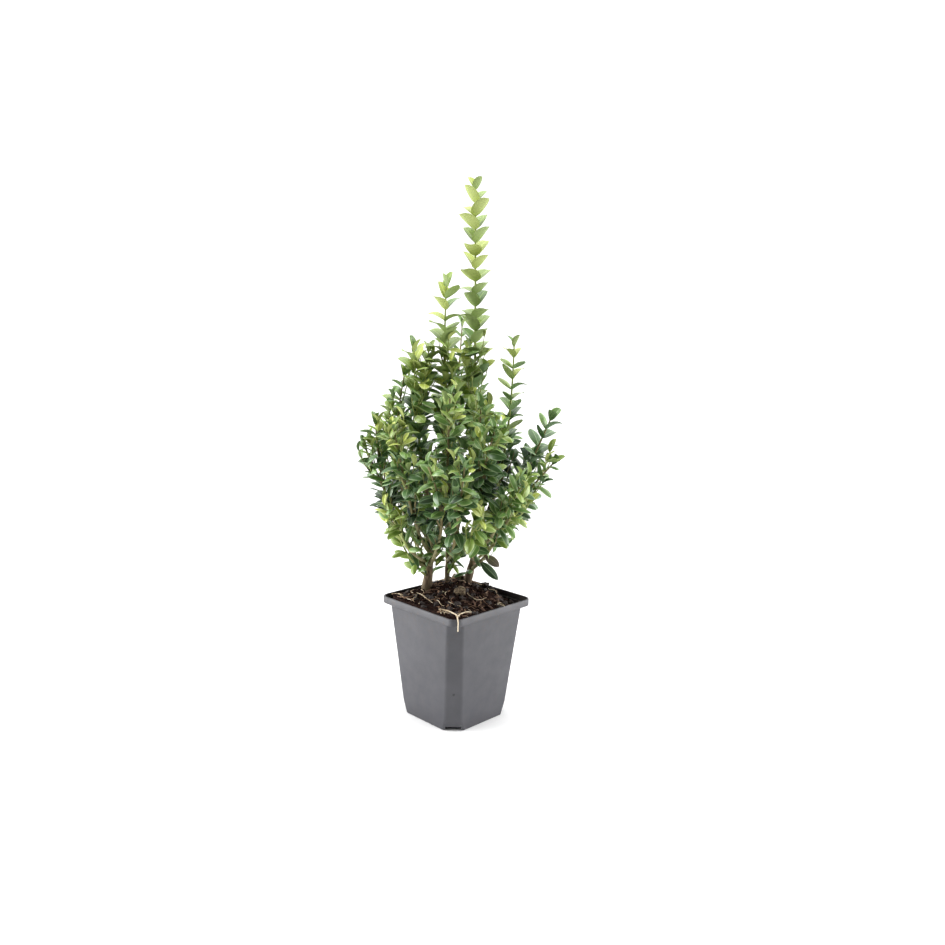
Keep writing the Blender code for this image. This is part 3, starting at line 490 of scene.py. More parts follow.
def end_tree(tree, geometry, *finishes):
    """Make a tree's copies real and lay each finish on the faces that it is for."""
    done = node(tree, "GeometryNodeRealizeInstances", {"Geometry": geometry})
    for faces, finish in finishes:
        links = {"Geometry": done, "Selection": faces, "Material": finish}
        done = node(tree, "GeometryNodeSetMaterial", links)
    node(tree, "NodeGroupOutput", {"Geometry": done})
    return tree


SCRATCH = ("turn", "size", "form", "underside", "pale", "thick")


def run_tree(item, tree, **values):
    """Run a geometry tree on an object and keep the result as its plain mesh."""
    step = item.modifiers.new(tree.name, "NODES")
    step.node_group = tree
    for socket in tree.interface.items_tree:
        if socket.in_out == "INPUT" and socket.name in values:
            step[socket.identifier] = values[socket.name]
    plain_mesh(item)
    for attribute in list(item.data.attributes):
        if attribute.name in SCRATCH:
            item.data.attributes.remove(attribute)
    return item


# ======== paths, the same as in the solids

def path_point(path, t):
    start, control, end = path
    return start * (1 - t) ** 2 + control * 2 * t * (1 - t) + end * t ** 2


def path_heading(path, t):
    start, control, end = path
    return ((control - start) * (1 - t) + (end - control) * t).normalized()


def path_length(path, steps=24):
    points = [path_point(path, i / steps) for i in range(steps + 1)]
    return sum((b - a).length for a, b in zip(points, points[1:]))


def sample_path(path, spacing):
    count = max(3, int(path_length(path) / spacing))
    return [path_point(path, i / count) for i in range(count + 1)]


def lean(path, t, angle, around):
    """A direction at an angle off a path's heading, turned round it."""
    line = (path[2] - path[0]).normalized()
    reference = Vector((1, 0, 0)) if abs(line.x) < 0.6 else Vector((0, 1, 0))
    heading = path_heading(path, t)
    side = heading.cross(reference).normalized()
    out = side * cos(around) + heading.cross(side) * sin(around)
    return (heading * cos(angle) + out * sin(angle)).normalized()


def share_at_height(path, height):
    low, high = 0.0, 1.0
    for _ in range(30):
        middle = (low + high) / 2.0
        if path_point(path, middle).z < height:
            low = middle
        else:
            high = middle
    return low


def soil_level(x, y):
    """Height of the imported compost: a shallow slope towards +X, with a mound round the stems."""
    away = hypot(x - SOIL_MOUND_CENTRE.x, y - SOIL_MOUND_CENTRE.y) / SOIL_MOUND_REACH
    return SOIL_EDGE_LEVEL - SOIL_SIDE_FALL * x + SOIL_MOUND * smooth_fall(away)


def limb_path(name):
    """The course of a trunk or a bough."""
    if name in BOUGHS:
        bough = BOUGHS[name]
        return leaving_path(bough.trunk, bough.height, bough.end)
    trunk = TRUNKS[name]
    start = Vector((trunk.foot.x, trunk.foot.y, soil_level(trunk.foot.x, trunk.foot.y) - SEAT_SINK + GAP))
    return start, (start + trunk.top) / 2.0 + trunk.bow * 2.0, trunk.top


def leaving_path(trunk, height, end):
    """A path from a trunk's axis that first heads outwards and then turns up."""
    path = limb_path(trunk)
    start = path_point(path, share_at_height(path, height))
    run = end - start
    control = start + Vector((run.x * BOUGH_SPREAD, run.y * BOUGH_SPREAD, run.z * BOUGH_RISE))
    return start, control, end


def stem_path(mass):
    """A mass's stem: it goes on from its carrier's end, or leaves a trunk, and turns to its own tip."""
    if mass.height is not None:
        return leaving_path(mass.carrier, mass.height, mass.tip)
    path = limb_path(mass.carrier)
    start = path[2]
    control = start + path_heading(path, 1.0) * (mass.tip - start).length * STEM_REACH + mass.bow * 2.0
    return start, control, mass.tip


def fork_paths(mass):
    stem = stem_path(mass)
    start = path_point(stem, FORK_SHARE)
    heading = path_heading(stem, FORK_SHARE)
    return [(start, start + heading * (tip - start).length * FORK_REACH, tip) for tip in mass.forks]


# ======== finishes

def principled(name, base, roughness, **settings):
    """A material of one Principled shader; the settings are its sockets, with _ for a space."""
    made = bpy.data.materials.new(name)
    made.use_nodes = True
    sockets = made.node_tree.nodes["Principled BSDF"].inputs
    sockets["Base Color"].default_value = colour(base)
    sockets["Roughness"].default_value = roughness
    for key, value in settings.items():
        sockets[key.replace("_", " ")].default_value = value
    return made


def drive(tree, socket, value):
    """Let a pattern set one of the shader's sockets."""
    tree.links.new(value, tree.nodes["Principled BSDF"].inputs[socket])


def ramp(tree, value, stops):
    """Colours along a value, from places and hex codes."""
    made = node(tree, "ShaderNodeValToRGB", {"Fac": value})
    elements = made.node.color_ramp.elements
    while len(elements) < len(stops):
        elements.new(0.5)
    for element, (place, code) in zip(elements, stops):
        element.position = place
        element.color = colour(code)
    return made


def blend_colours(tree, share, first, second):
    return node(tree, "ShaderNodeMix", {0: share, 6: first, 7: colour(second)}, 2, data_type="RGBA")


def map_value(tree, value, low, high, to_low, to_high):
    return node(tree, "ShaderNodeMapRange", {"Value": value, "From Min": low, "From Max": high,
                                             "To Min": to_low, "To Max": to_high})


def bump(tree, height, distance):
    drive(tree, "Normal", node(tree, "ShaderNodeBump", {"Height": height, "Distance": distance,
                                                        "Strength": 1.0}))


def object_place(tree, squeeze=1.0):
    """The place on the object, with patterns squeezed along Z."""
    place = node(tree, "ShaderNodeTexCoord", out="Object")
    return node(tree, "ShaderNodeMapping", {"Vector": place, "Scale": (1.0, 1.0, squeeze)})


def height_above_ground(tree):
    return node(tree, "ShaderNodeSeparateXYZ", {0: node(tree, "ShaderNodeTexCoord", out="Object")}, "Z")


# A grained finish: its base colour and roughness, the grain's size in millimetres, detail, roughness and
# squeeze along Z, its colours, the depth of its relief, the size of the relief's own grain where it isn't
# the colours' grain, and its shine.
Grain = namedtuple("Grain", "base rough size detail harsh squeeze stops depth relief shine",
                   defaults=(0.0, None, 0.5))
GRAINS = {
    # the pot's plastic inside: a darker copy of the moulded plastic, painted nearly black as shade inside the
    # wall, with a faint brown-grey mottle
    "polypropylene in painted shade": Grain("#29272A", 0.42, 8, 4.0, 0.55, 1.0, ((0.35, "#1E1C1F"), (0.7, "#37312F"))),
    # a dark brown crumb with fibres of lighter brown and no shine
    "peat compost": Grain("#33211B", 0.92, 2.6, 6.0, 0.7, 1.0, (
        (0.30, "#120908"), (0.50, "#261713"), (0.68, "#3B271F"), (0.80, "#5A4033")), 0.6, 1.2, 0.1),
    # clods of wetter peat: nearly black, with a faint shine
    "damp peat clod": Grain("#231612", 0.7, 2.0, 5.0, 0.7, 1.0, (
        (0.30, "#140C0A"), (0.55, "#271A16"), (0.80, "#43302A")), 0.4, 0.9),
    # bark and wood fibre that has dried in the light: tan to grey-pink
    "weathered wood chip": Grain("#8A6F5B", 0.85, 3.5, 4.0, 0.55, 2.5, (
        (0.30, "#5B4132"), (0.50, "#83644E"), (0.72, "#AE947E"))),
    # a matted lump of fine dry roots: yellow-grey, with dark pits
    "matted root lump": Grain("#7C6C50", 0.9, 1.3, 5.0, 0.75, 1.8, (
        (0.32, "#2C211A"), (0.46, "#5A4A38"), (0.60, "#82735A"), (0.75, "#B0A284")), 0.5),
    # bark in the compost: flat, fibrous, brown to tan
    "shredded bark": Grain("#6B4E3C", 0.85, 3.0, 4.0, 0.55, 3.0, (
        (0.30, "#37251D"), (0.55, "#5A4030"), (0.75, "#7E6250"))),
    # a live rootlet: smooth, pale straw, a little darker where peat clings
    "root fibre": Grain("#C9B08A", 0.7, 4, 3.0, 0.55, 1.0, (
        (0.35, "#A88F70"), (0.55, "#DCCBAE"), (0.8, "#EFE6D2"))),
    # bark of the boughs: still thin and smooth, straw-green, with brown flecks
    "green bark": Grain("#A19C74", 0.7, 1.8, 4.0, 0.6, 0.35, (
        (0.30, "#6A5B41"), (0.46, "#8E8760"), (0.62, "#AAA67C"), (0.80, "#C4C09C")), 0.15),
}


def grained(name):
    grain = GRAINS[name]
    made = principled(name, grain.base, grain.rough, Specular_IOR_Level=grain.shine)
    tree = made.node_tree
    place = object_place(tree, grain.squeeze)
    pattern = noise_on(tree, place, grain.size * MM, grain.detail, grain.harsh)
    drive(tree, "Base Color", ramp(tree, pattern, grain.stops))
    if grain.relief:
        pattern = noise_on(tree, place, grain.relief * MM, 4.0)
    if grain.depth:
        bump(tree, pattern, grain.depth * MM)
    return made


def moulded_polypropylene():
    """Injection-moulded grey polypropylene: a dull, faintly mottled skin, dusted with peat below the rim."""
    made = principled("moulded polypropylene", "#444449", 0.48)
    tree = made.node_tree
    place = object_place(tree)
    mottle = ramp(tree, noise_on(tree, place, 22 * MM, 4.0),
                  ((0.30, "#3F3F44"), (0.55, "#444449"), (0.75, "#4A4A4F")))
    near_rim = map_value(tree, height_above_ground(tree), 66 * MM, POT_HEIGHT, 0.0, 0.75)
    specks = map_value(tree, noise_on(tree, place, 3.5 * MM, 6.0, 0.7), 0.52, 0.70, 0.0, 1.0)
    dust = maths(tree, "MULTIPLY", near_rim, specks)
    drive(tree, "Base Color", blend_colours(tree, dust, mottle, "#4A3F38"))
    wear = noise_on(tree, place, 9 * MM, 5.0)
    drive(tree, "Roughness", map_value(tree, wear, 0.3, 0.7, 0.40, 0.58))
    # the mould's spark-eroded skin is finer than shows here, so it is drawn at 0.9 mm
    bump(tree, noise_on(tree, place, 0.9 * MM, 2.0), 0.05 * MM)
    return made


def boxwood_bark():
    """Young boxwood bark: thin, grey-brown, split into fine corky ridges, greener where it is thin."""
    made = principled("boxwood bark", "#7B6A50", 0.82)
    tree = made.node_tree
    ridges = noise_on(tree, object_place(tree, 0.28), 1.6 * MM, 4.0, 0.6)
    wood = ramp(tree, ridges, ((0.30, "#4A3A2B"), (0.48, "#75624A"), (0.62, "#8F7D60"), (0.78, "#ABA080")))
    moss = map_value(tree, noise_on(tree, object_place(tree), 9 * MM), 0.45, 0.7, 0.0, 0.55)
    # the bark grows darker towards its foot, from 124 mm down to 100 mm
    darkened = map_value(tree, height_above_ground(tree), 100.0 * MM, 124.0 * MM, 0.7, 0.0)
    skin = blend_colours(tree, moss, wood, "#868558")
    drive(tree, "Base Color", blend_colours(tree, darkened, skin, "#3F3128"))
    bump(tree, ridges, 0.3 * MM)
    return made


def leaf_finishes(name):
    """A leathery leaf: waxy above, matt and paler below, with a pale midrib and a pale margin that is partly
    a painted highlight. Plain colours.
    """
    tone = TONES[name]
    upper = principled(name + " leaf", tone.upper, tone.rough, Coat_Weight=0.3, Coat_Roughness=0.32)
    return {"Upper": upper, "Underside": principled(name + " leaf underside", tone.under, 0.6),
            "Midrib": principled(name + " leaf midrib and margin highlight", tone.pale, 0.5)}


# ======== stage

def make_camera():
    yaw, pitch, roll = CAMERA_YAW, CAMERA_PITCH, CAMERA_ROLL
    ahead = Vector((sin(yaw) * cos(pitch), cos(yaw) * cos(pitch), -sin(pitch)))
    right = Vector((cos(yaw), -sin(yaw), 0.0))
    above = right.cross(ahead)
    across = right * cos(roll) + above * sin(roll)
    upright = above * cos(roll) - right * sin(roll)
    data = bpy.data.cameras.new("camera")
    data.sensor_width = SENSOR
    data.lens = FOCAL_SHARE * SENSOR
    data.clip_start = 0.01
    camera = add_object("camera", data)
    turn = Matrix((across, upright, -ahead)).transposed().to_4x4()
    camera.matrix_world = Matrix.Translation((0.0, -CAMERA_AWAY, CAMERA_HEIGHT)) @ turn
    bpy.context.scene.camera = camera


def make_light():
    world = bpy.data.worlds.new("white studio")
    world.use_nodes = True
    tree = world.node_tree
    sky = tree.nodes["Background"].inputs
    towards = node(tree, "ShaderNodeSeparateXYZ", {0: node(tree, "ShaderNodeTexCoord", out="Generated")}, "Y")
    sky["Color"].default_value = (1.0, 1.0, 1.0, 1.0)
    tree.links.new(map_value(tree, towards, -0.75, 0.05, FRONT_LIGHT, BACK_LIGHT), sky["Strength"])
    bpy.context.scene.world = world
    bpy.context.scene.view_settings.view_transform = "Standard"
    for name, lamp in LAMPS.items():
        data = bpy.data.lights.new(name, "AREA")
        data.shape = "DISK"
        data.size = lamp.size
        data.energy = lamp.energy
        item = add_object(name, data)
        item.location = lamp.place
        item.rotation_euler = (PLANT_MIDDLE - lamp.place).to_track_quat("-Z", "Y").to_euler()


def make_floor():
    around = [i * pi / (FLOOR_SIDES / 2) for i in range(FLOOR_SIDES)]
    edge = [(cos(a) * FLOOR_RADIUS, sin(a) * FLOOR_RADIUS + FLOOR_BACK, -FLOOR_DROP) for a in around]
    floor = mesh_object("floor", edge, [tuple(range(FLOOR_SIDES))], principled("white paper", "#FAFAFA", 0.9))


# ======== pot

def cut_square(side, flat):
    """The eight corners of a square cut by a flat across each corner, anticlockwise."""
    half = side / 2.0
    leg = flat / sqrt(2.0)
    return [turn_z(quarter * pi / 2.0 + POT_TURN) @ Vector(corner)
            for quarter in range(4) for corner in ((half, half - leg, 0.0), (half - leg, half, 0.0))]


def rounded(points, radius, steps, height):
    """Round each corner of an outline by an arc of a radius."""
    ring = []
    for i, corner in enumerate(points):
        before = (points[i - 1] - corner).normalized()
        after = (points[(i + 1) % len(points)] - corner).normalized()
        half = before.angle(after) / 2.0
        centre = corner + (before + after).normalized() * radius / sin(half)
        first = corner + before * radius / tan(half) - centre
        sweep = first.angle(corner + after * radius / tan(half) - centre)
        for step in range(steps):
            point = centre + turn_z(sweep * step / (steps - 1)) @ first
            ring.append(Vector((point.x, point.y, height)))
    return ring


def body_side(height):
    return BODY_BASE_SIDE + (BODY_TOP_SIDE - BODY_BASE_SIDE) * height / (POT_HEIGHT - RIM_BAND)


def corner_flat(height):
    if height < CORNER_SLOPE_HEIGHT:
        share = height / CORNER_SLOPE_HEIGHT
        return CORNER_FLAT_BASE + (CORNER_FLAT_LOW - CORNER_FLAT_BASE) * share
    share = (height - CORNER_SLOPE_HEIGHT) / (POT_HEIGHT - RIM_BAND - CORNER_SLOPE_HEIGHT)
    return CORNER_FLAT_LOW + (CORNER_FLAT_TOP - CORNER_FLAT_LOW) * share


def corner_reach(height):
    """How far the flat of a corner is from the pot's middle."""
    return body_side(height) / sqrt(2.0) - corner_flat(height) / 2.0


def body_ring(height, inset):
    flat = corner_flat(height) - 2.0 * inset * tan(pi / 8.0)
    outline = cut_square(body_side(height) - 2.0 * inset, flat)
    return rounded(outline, CORNER_FILLET, CORNER_POINTS // 2, height)


def rim_ring(height, inset):
    half = RIM_SIDE / 2.0 - inset
    spin = turn_z(POT_TURN)
    corners = [spin @ Vector((half * x, half * y, 0.0)) for x, y in ((1, 1), (-1, 1), (-1, -1), (1, -1))]
    return rounded(corners, RIM_CORNER - inset, CORNER_POINTS, height)


def loft(rings):
    """Skin a stack of equal rings from the bottom up and close both ends."""
    count = len(rings[0])
    verts = [p for ring in rings for p in ring]
    top = len(verts) - count
    faces = [tuple(reversed(range(count)))]
    for low in range(0, top, count):
        faces += [(low + i, low + (i + 1) % count, low + count + (i + 1) % count, low + count + i)
                  for i in range(count)]
    return verts, faces + [tuple(range(top, len(verts)))]


def pot_form(name, finish, body, rim):
    """A skin over rings of the pot's body and rim, each a height and how far it is set in."""
    rings = [body_ring(*row) for row in body] + [rim_ring(*row) for row in rim]
    return mesh_object(name, *loft(rings), finish)


def corner_boxes(name, finish, width, near, far, low, high):
    """A box at each corner of the pot, square to the corner's flat."""
    verts, faces = [], []
    for quarter in range(4):
        turn = turn_z(POT_TURN + pi / 4.0 + quarter * pi / 2.0)
        base = len(verts)
        verts += [turn @ Vector((x, y * width / 2.0, z)) for z in (low, high)
                  for x, y in ((near, -1), (far, -1), (far, 1), (near, 1))]
        faces += [tuple(base + i for i in face) for face in
                  ((3, 2, 1, 0), (4, 5, 6, 7), (0, 1, 5, 4), (1, 2, 6, 5), (2, 3, 7, 6), (3, 0, 4, 7))]
    return mesh_object(name, verts, faces, finish)


def cut(item, *cutters):
    for other in cutters:
        step = item.modifiers.new("cut", "BOOLEAN")
        step.operation = "DIFFERENCE"
        step.solver = "EXACT"
        step.material_mode = "TRANSFER"
        step.object = other
    plain_mesh(item)
    remove(*cutters)


def make_pot():
    """Thin moulded wall, a rim band that steps outwards and a drain notch at each chamfered corner."""
    shoulder = POT_HEIGHT - RIM_BAND
    inner_step = shoulder + POT_WALL
    rise = RIM_ROUND
    plastic = moulded_polypropylene()
    # the inner faces of the pot get a darker copy of the plastic: painted shade
    darkened = grained("polypropylene in painted shade")
    pot = pot_form("pot_shell", plastic,
                   ((0.0, 0.35 * MM), (0.35 * MM, 0.0), (CORNER_SLOPE_HEIGHT - MM, 0.0),
                    (CORNER_SLOPE_HEIGHT + MM, 0.0), (shoulder, 0.0)),
                   ((shoulder, 0.3 * MM), (shoulder + 0.3 * MM, 0.0), (POT_HEIGHT - rise, 0.0),
                    (POT_HEIGHT - 0.3 * rise, 0.3 * rise), (POT_HEIGHT, rise)))
    hollow = pot_form("pot_hollow", darkened,
                      ((POT_FLOOR, POT_WALL), (CORNER_SLOPE_HEIGHT, POT_WALL), (inner_step, POT_WALL)),
                      ((inner_step, RIM_LIP), (POT_HEIGHT - 0.4 * rise, RIM_LIP),
                       (POT_HEIGHT + MM, RIM_LIP - rise - MM)))
    inner = corner_reach(0.0) - NOTCH_DEPTH
    outer = corner_reach(0.0) + 20.0 * MM
    under = -5.0 * MM
    ledge = NOTCH_HEIGHT + POT_WALL
    ledge_width = NOTCH_WIDTH + 2.0 * POT_WALL
    cut(hollow, corner_boxes("ledge", darkened, ledge_width, inner - POT_WALL, outer, under, ledge))
    middle = corner_reach(0.0) - NOTCH_DEPTH / 2.0
    near = middle - DRAIN_DEPTH / 2.0
    far = middle + DRAIN_DEPTH / 2.0
    cut(pot, hollow, corner_boxes("notches", plastic, NOTCH_WIDTH, inner, outer, under, NOTCH_HEIGHT),
        corner_boxes("slots", plastic, DRAIN_WIDTH, near, far, NOTCH_HEIGHT - MM, ledge + MM))
    pot.data.set_sharp_from_angle(angle=POT_SHARP)
    attach(pot, "pot_plastic", "pot")


def make_gate_mark():
    """The spot where the plastic entered the mould, on the front corner's flat."""
    slope = (BODY_TOP_SIDE - BODY_BASE_SIDE) / sqrt(2.0) / (POT_HEIGHT - RIM_BAND)
    lean_out = Matrix.Rotation(atan(slope), 3, "X")
    around = [i * pi / (GATE_SIDES / 2) for i in range(GATE_SIDES)]
    verts, faces = loft([[Vector((cos(a) * radius * GATE_RADIUS, -lift * MM, sin(a) * radius * GATE_RADIUS))
                          for a in around] for radius, lift in GATE_RINGS])
    centre = Vector((0.0, -corner_reach(GATE_HEIGHT), GATE_HEIGHT))
    turn = turn_z(POT_TURN - pi / 4.0)
    verts = [turn @ (centre + lean_out @ v) for v in verts]
    mark = mesh_object("gate_mark", verts, faces, principled("scuffed polypropylene", "#38373B", 0.6))
    attach(mark, "pot_plastic")


# ======== compost

def soil_top(x, y):
    """Height of the dressed compost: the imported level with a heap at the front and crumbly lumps."""
    place = Vector((x, y, 0.0))
    heap = smooth_fall(1.0 - SOIL_HEAP_TOWARDS.dot(place) / SOIL_HEAP_REACH)
    lump = noise.fractal(place / SOIL_LUMP_SIZE, 0.9, 2.1, 5, noise_basis="PERLIN_ORIGINAL")
    return soil_level(x, y) + SOIL_HEAP * heap + SOIL_LUMP * lump


def make_compost():
    """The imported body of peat, and its rough top as a mesh of its own for what lies on it."""
    inset = POT_WALL + GAP
    heights = (SOIL_BOTTOM, CORNER_SLOPE_HEIGHT, SOIL_EDGE_LEVEL - SOIL_SKIRT)
    rings = [body_ring(height, inset) for height in heights]
    rim = body_ring(SOIL_EDGE_LEVEL, inset)
    centre = SOIL_MOUND_CENTRE
    for level in range(SOIL_RINGS):
        share = 1.0 - level / SOIL_RINGS
        squareness = share ** 3
        ring = []
        for p in rim:
            around = atan2(p.y, p.x)
            x = p.x * squareness + SOIL_ROUND * cos(around) * (1.0 - squareness)
            y = p.y * squareness + SOIL_ROUND * sin(around) * (1.0 - squareness)
            x = centre.x * (1.0 - share) + x * share
            y = centre.y * (1.0 - share) + y * share
            ring.append(Vector((x, y, soil_top(x, y))))
        rings.append(ring)
    attach(mesh_object("compost_body", *loft(rings), grained("peat compost")), "compost", "soil")
    verts, faces = loft(rings[3:])
    return mesh_object("compost_top", verts, faces[1:])


def lump_form(name, shape, jag, seed, steps=2, group=None):
    """An irregular lump about 1 m long, to be set down at a smaller scale."""
    ball = bmesh.new()
    bmesh.ops.create_icosphere(ball, subdivisions=steps, radius=0.5)
    shift = Vector((seed * 7.3, seed * 1.7, seed * 3.1))
    for vert in ball.verts:
        push = noise.noise(vert.co * 3.0 + shift) * jag
        vert.co = Vector([c * (1.0 + push) * s for c, s in zip(vert.co, shape)])
    mesh = bpy.data.meshes.new(name)
    ball.to_mesh(mesh)
    ball.free()
    mesh.shade_flat()
    return add_object(name, mesh, group)


def scatter_tree():
    """Forms strewn over a surface: more of them where the surface's "share" is high."""
    tree, given = geometry_tree("strewn pieces", Forms="Collection", Spacing="Float", Density="Float",
                                Seed="Int", Smallest="Float", Largest="Float", Tilt="Vector",
                                Finish="Material")
    chance = "FunctionNodeRandomValue"
    seed = given["Seed"]
    points = node(tree, "GeometryNodeDistributePointsOnFaces", {
        "Mesh": given["Geometry"], "Distance Min": given["Spacing"], "Density Max": given["Density"],
        "Density Factor": read_marks(tree, "share", "FLOAT"), "Seed": seed}, distribute_method="POISSON")
    least = vectors(tree, "SCALE", given["Tilt"], -1.0)
    tilt = node(tree, chance, {0: least, 1: given["Tilt"], "Seed": seed}, data_type="FLOAT_VECTOR")
    turn = node(tree, "FunctionNodeRotateRotation", {
        "Rotation": points.node.outputs["Rotation"],
        "Rotate By": node(tree, "FunctionNodeEulerToRotation", {"Euler": tilt})}, rotation_space="LOCAL")
    size = node(tree, chance, {2: given["Smallest"], 3: given["Largest"], "Seed": seed}, 1, data_type="FLOAT")
    pick = node(tree, chance, {4: 0, 5: 3, "Seed": seed}, 2, data_type="INT")
    laid = stand_forms(tree, given["Forms"], points, pick, turn, size)
    return end_tree(tree, laid, (True, given["Finish"]))


# Strewn pieces: their finish, the shape of a form, how ragged it is, the least gap between pieces in
# millimetres, how many to a square metre, the smallest and largest length in millimetres, how far they tip,
# and what share of them lies at the middle. The share grows by 1 over "run" millimetres towards +X, or
# towards -X where that is below 0.
Strewn = namedtuple("Strewn", "finish shape jag spacing density smallest largest tip share run",
                    defaults=(1.0, inf))
STREWN = {
    "peat_crumbs": Strewn("peat compost", (1.0, 0.85, 0.8), 0.9, 1.6, 180000.0, 1.2, 3.8, 1.2),
    "peat_clods": Strewn("damp peat clod", (1.0, 0.8, 0.7), 0.9, 5.0, 16000.0, 4.0, 7.5, 0.8),
    "bark_chips": Strewn("shredded bark", (1.0, 0.42, 0.22), 0.8, 3.4, 30000.0, 4.0, 9.0, 0.5, 0.55, 60.0),
    "tan_chips": Strewn("weathered wood chip", (1.0, 0.40, 0.25), 0.8, 5.0, 11000.0, 2.5, 6.5, 0.5),
    "pale_bits": Strewn("root fibre", (1.0, 0.45, 0.35), 0.8, 6.0, 7000.0, 1.6, 4.2, 0.6, 0.35, -45.0),
}


def strew(top):
    """Lay the strewn pieces over the compost."""
    tree = scatter_tree()
    for seed, (name, kind) in enumerate(STREWN.items(), start=3):
        group = bpy.data.collections.new(name)
        for k in range(4):
            lump_form("%s_%d" % (name, k), kind.shape, kind.jag, seed + k * 0.37, group=group)
        item = add_object(name, top.data.copy())
        clear = kind.largest * MM * 0.5
        add_marks(item, "share", "FLOAT", [
            clamp(kind.share + v.co.x / (kind.run * MM)) * (wall_distance(v.co.x, v.co.y) > clear)
            for v in item.data.vertices])
        run_tree(item, tree, Forms=group, Spacing=kind.spacing * MM, Density=kind.density, Seed=seed,
                 Smallest=kind.smallest * MM, Largest=kind.largest * MM, Tilt=(kind.tip, kind.tip, pi),
                 Finish=grained(kind.finish))
        attach(item, "compost")
        remove_group(group)


# Roots that lie bare on the compost, as points in millimetres that are lifted to its surface, and a radius.
ROOTS = (
    (((-12, -36, 97), (-6, -41, 97.5), (0, -43, 97), (3, -47, 97)), 0.26),
    (((-39, 9, 95), (-35, 2, 95), (-33, -7, 95), (-36, -12, 95)), 0.35),
    (((-33, 3, 95), (-29, -3, 95), (-24, -14, 95), (-19, -21, 95)), 0.38),
    (((-31, 12, 95), (-27, 4, 95), (-28, -4, 95)), 0.25),
    (((-48, 5, 94), (-46, -1, 94), (-42, -3, 94), (-38, 1, 94)), 0.34),
    (((-43, 11, 94), (-40, 12, 94), (-35, 17, 94)), 0.28),
    (((32, -8, 94), (37, -4, 94), (43, -3, 94)), 0.38),
    (((-25, 22, 98), (-21, 29, 99), (-20, 34, 99), (-15, 33, 99), (-12, 29, 99)), 0.32),
    (((12, 36, 98), (16, 34, 98), (19, 31, 98), (24, 26, 98)), 0.32),
    (((-16, 35, 98), (-11, 38, 98), (-5, 40, 98)), 0.26),
    (((21, 29, 98), (26, 25, 97), (32, 19, 96)), 0.30),
    (((9, -2, 97), (17, -9, 96), (25, -3, 96)), 0.30),
    (((-47, -4, 95), (-41, -11, 95), (-34, -19, 95)), 0.24),
)
# Two roots that meet on the rim at the front corner; one hangs down outside. They keep their own heights.
RIM_ROOTS = (
    (((-13.5, -33, 98.4), (-9.5, -35.5, 98.8), (-5.5, -39.5, 99.2), (-2.3, -46, 99.9), (0.2, -54, 101.2),
      (1.2, -60.2, 101.0), (1.8, -62.0, 98), (1.8, -61.8, 95), (1.8, -61.5, 90.6)), 0.68),
    (((15.8, -32, 96.3), (12.4, -35, 97.2), (8.7, -38.5, 98.6), (5.1, -45, 99.7), (2.4, -53, 100.8),
      (1.2, -59, 101.2)), 0.58),
)
ROOT_STEP = 1.0 * MM
ROOT_TAPER = 0.45
RIM_ROOT_TAPER = 0.4
# Fibres wander from places all over the compost: how many, how far from the middle they start, their step
# and radius, all in millimetres, how many steps they take, how far each turns, and how high they lie.
FIBRES = 70
FIBRE_REACH = 37
FIBRE_STEP = 1.2
FIBRE_RADIUS = (0.14, 0.30)
FIBRE_STEPS = (6, 14)
FIBRE_LEAST = 4
FIBRE_BEND = 0.55
FIBRE_LIFT = 0.9
FIBRE_WALL_GAP = 1.5 * MM
ROOT_LIFT = 0.7 * MM                # over the crumbs
LUMP_RISE = 0.25
# Lumps of straw-coloured root near the stems and clods of peat behind them: place, width and seed.
LUMPS = (
    ("straw_lump", "matted root lump", ((1.0, 29.5, 10.5 * MM, 2), (3, -4, 9.5 * MM, 5))),
    ("clod", "damp peat clod", ((24.5, 26, 6.5 * MM, 7), (28.5, 22.5, 5.0 * MM, 9))),
)


def smooth_run(corners):
    """Points along a smooth curve through corners in millimetres."""
    points = [mm(*corner) for corner in corners]
    ends = [points[0] * 2.0 - points[1], *points, points[-1] * 2.0 - points[-2]]
    run = []
    for a, b, c, d in zip(ends, ends[1:], ends[2:], ends[3:]):
        steps = max(2, int((c - b).length / ROOT_STEP))
        for k in range(steps):
            t = k / steps
            run.append(b * 0.5 * (2 - 5 * t * t + 3 * t ** 3) + c * 0.5 * (t + 4 * t * t - 3 * t ** 3)
                       + a * 0.5 * (-t + 2 * t * t - t ** 3) + d * 0.5 * (t ** 3 - t * t))
    return run + [points[-1]]


def wall_distance(x, y):
    """How far a place on the compost is from the pot's wall."""
    spun = Matrix.Rotation(-POT_TURN, 2) @ Vector((x, y))
    half = body_side(SOIL_EDGE_LEVEL) / 2.0 - POT_WALL
    return half - max(abs(spun.x), abs(spun.y))


def lay(points, radius):
    """Lift a run's points to lie on the compost."""
    return [Vector((p.x, p.y, soil_top(p.x, p.y) + radius * 0.8 + ROOT_LIFT)) for p in points]


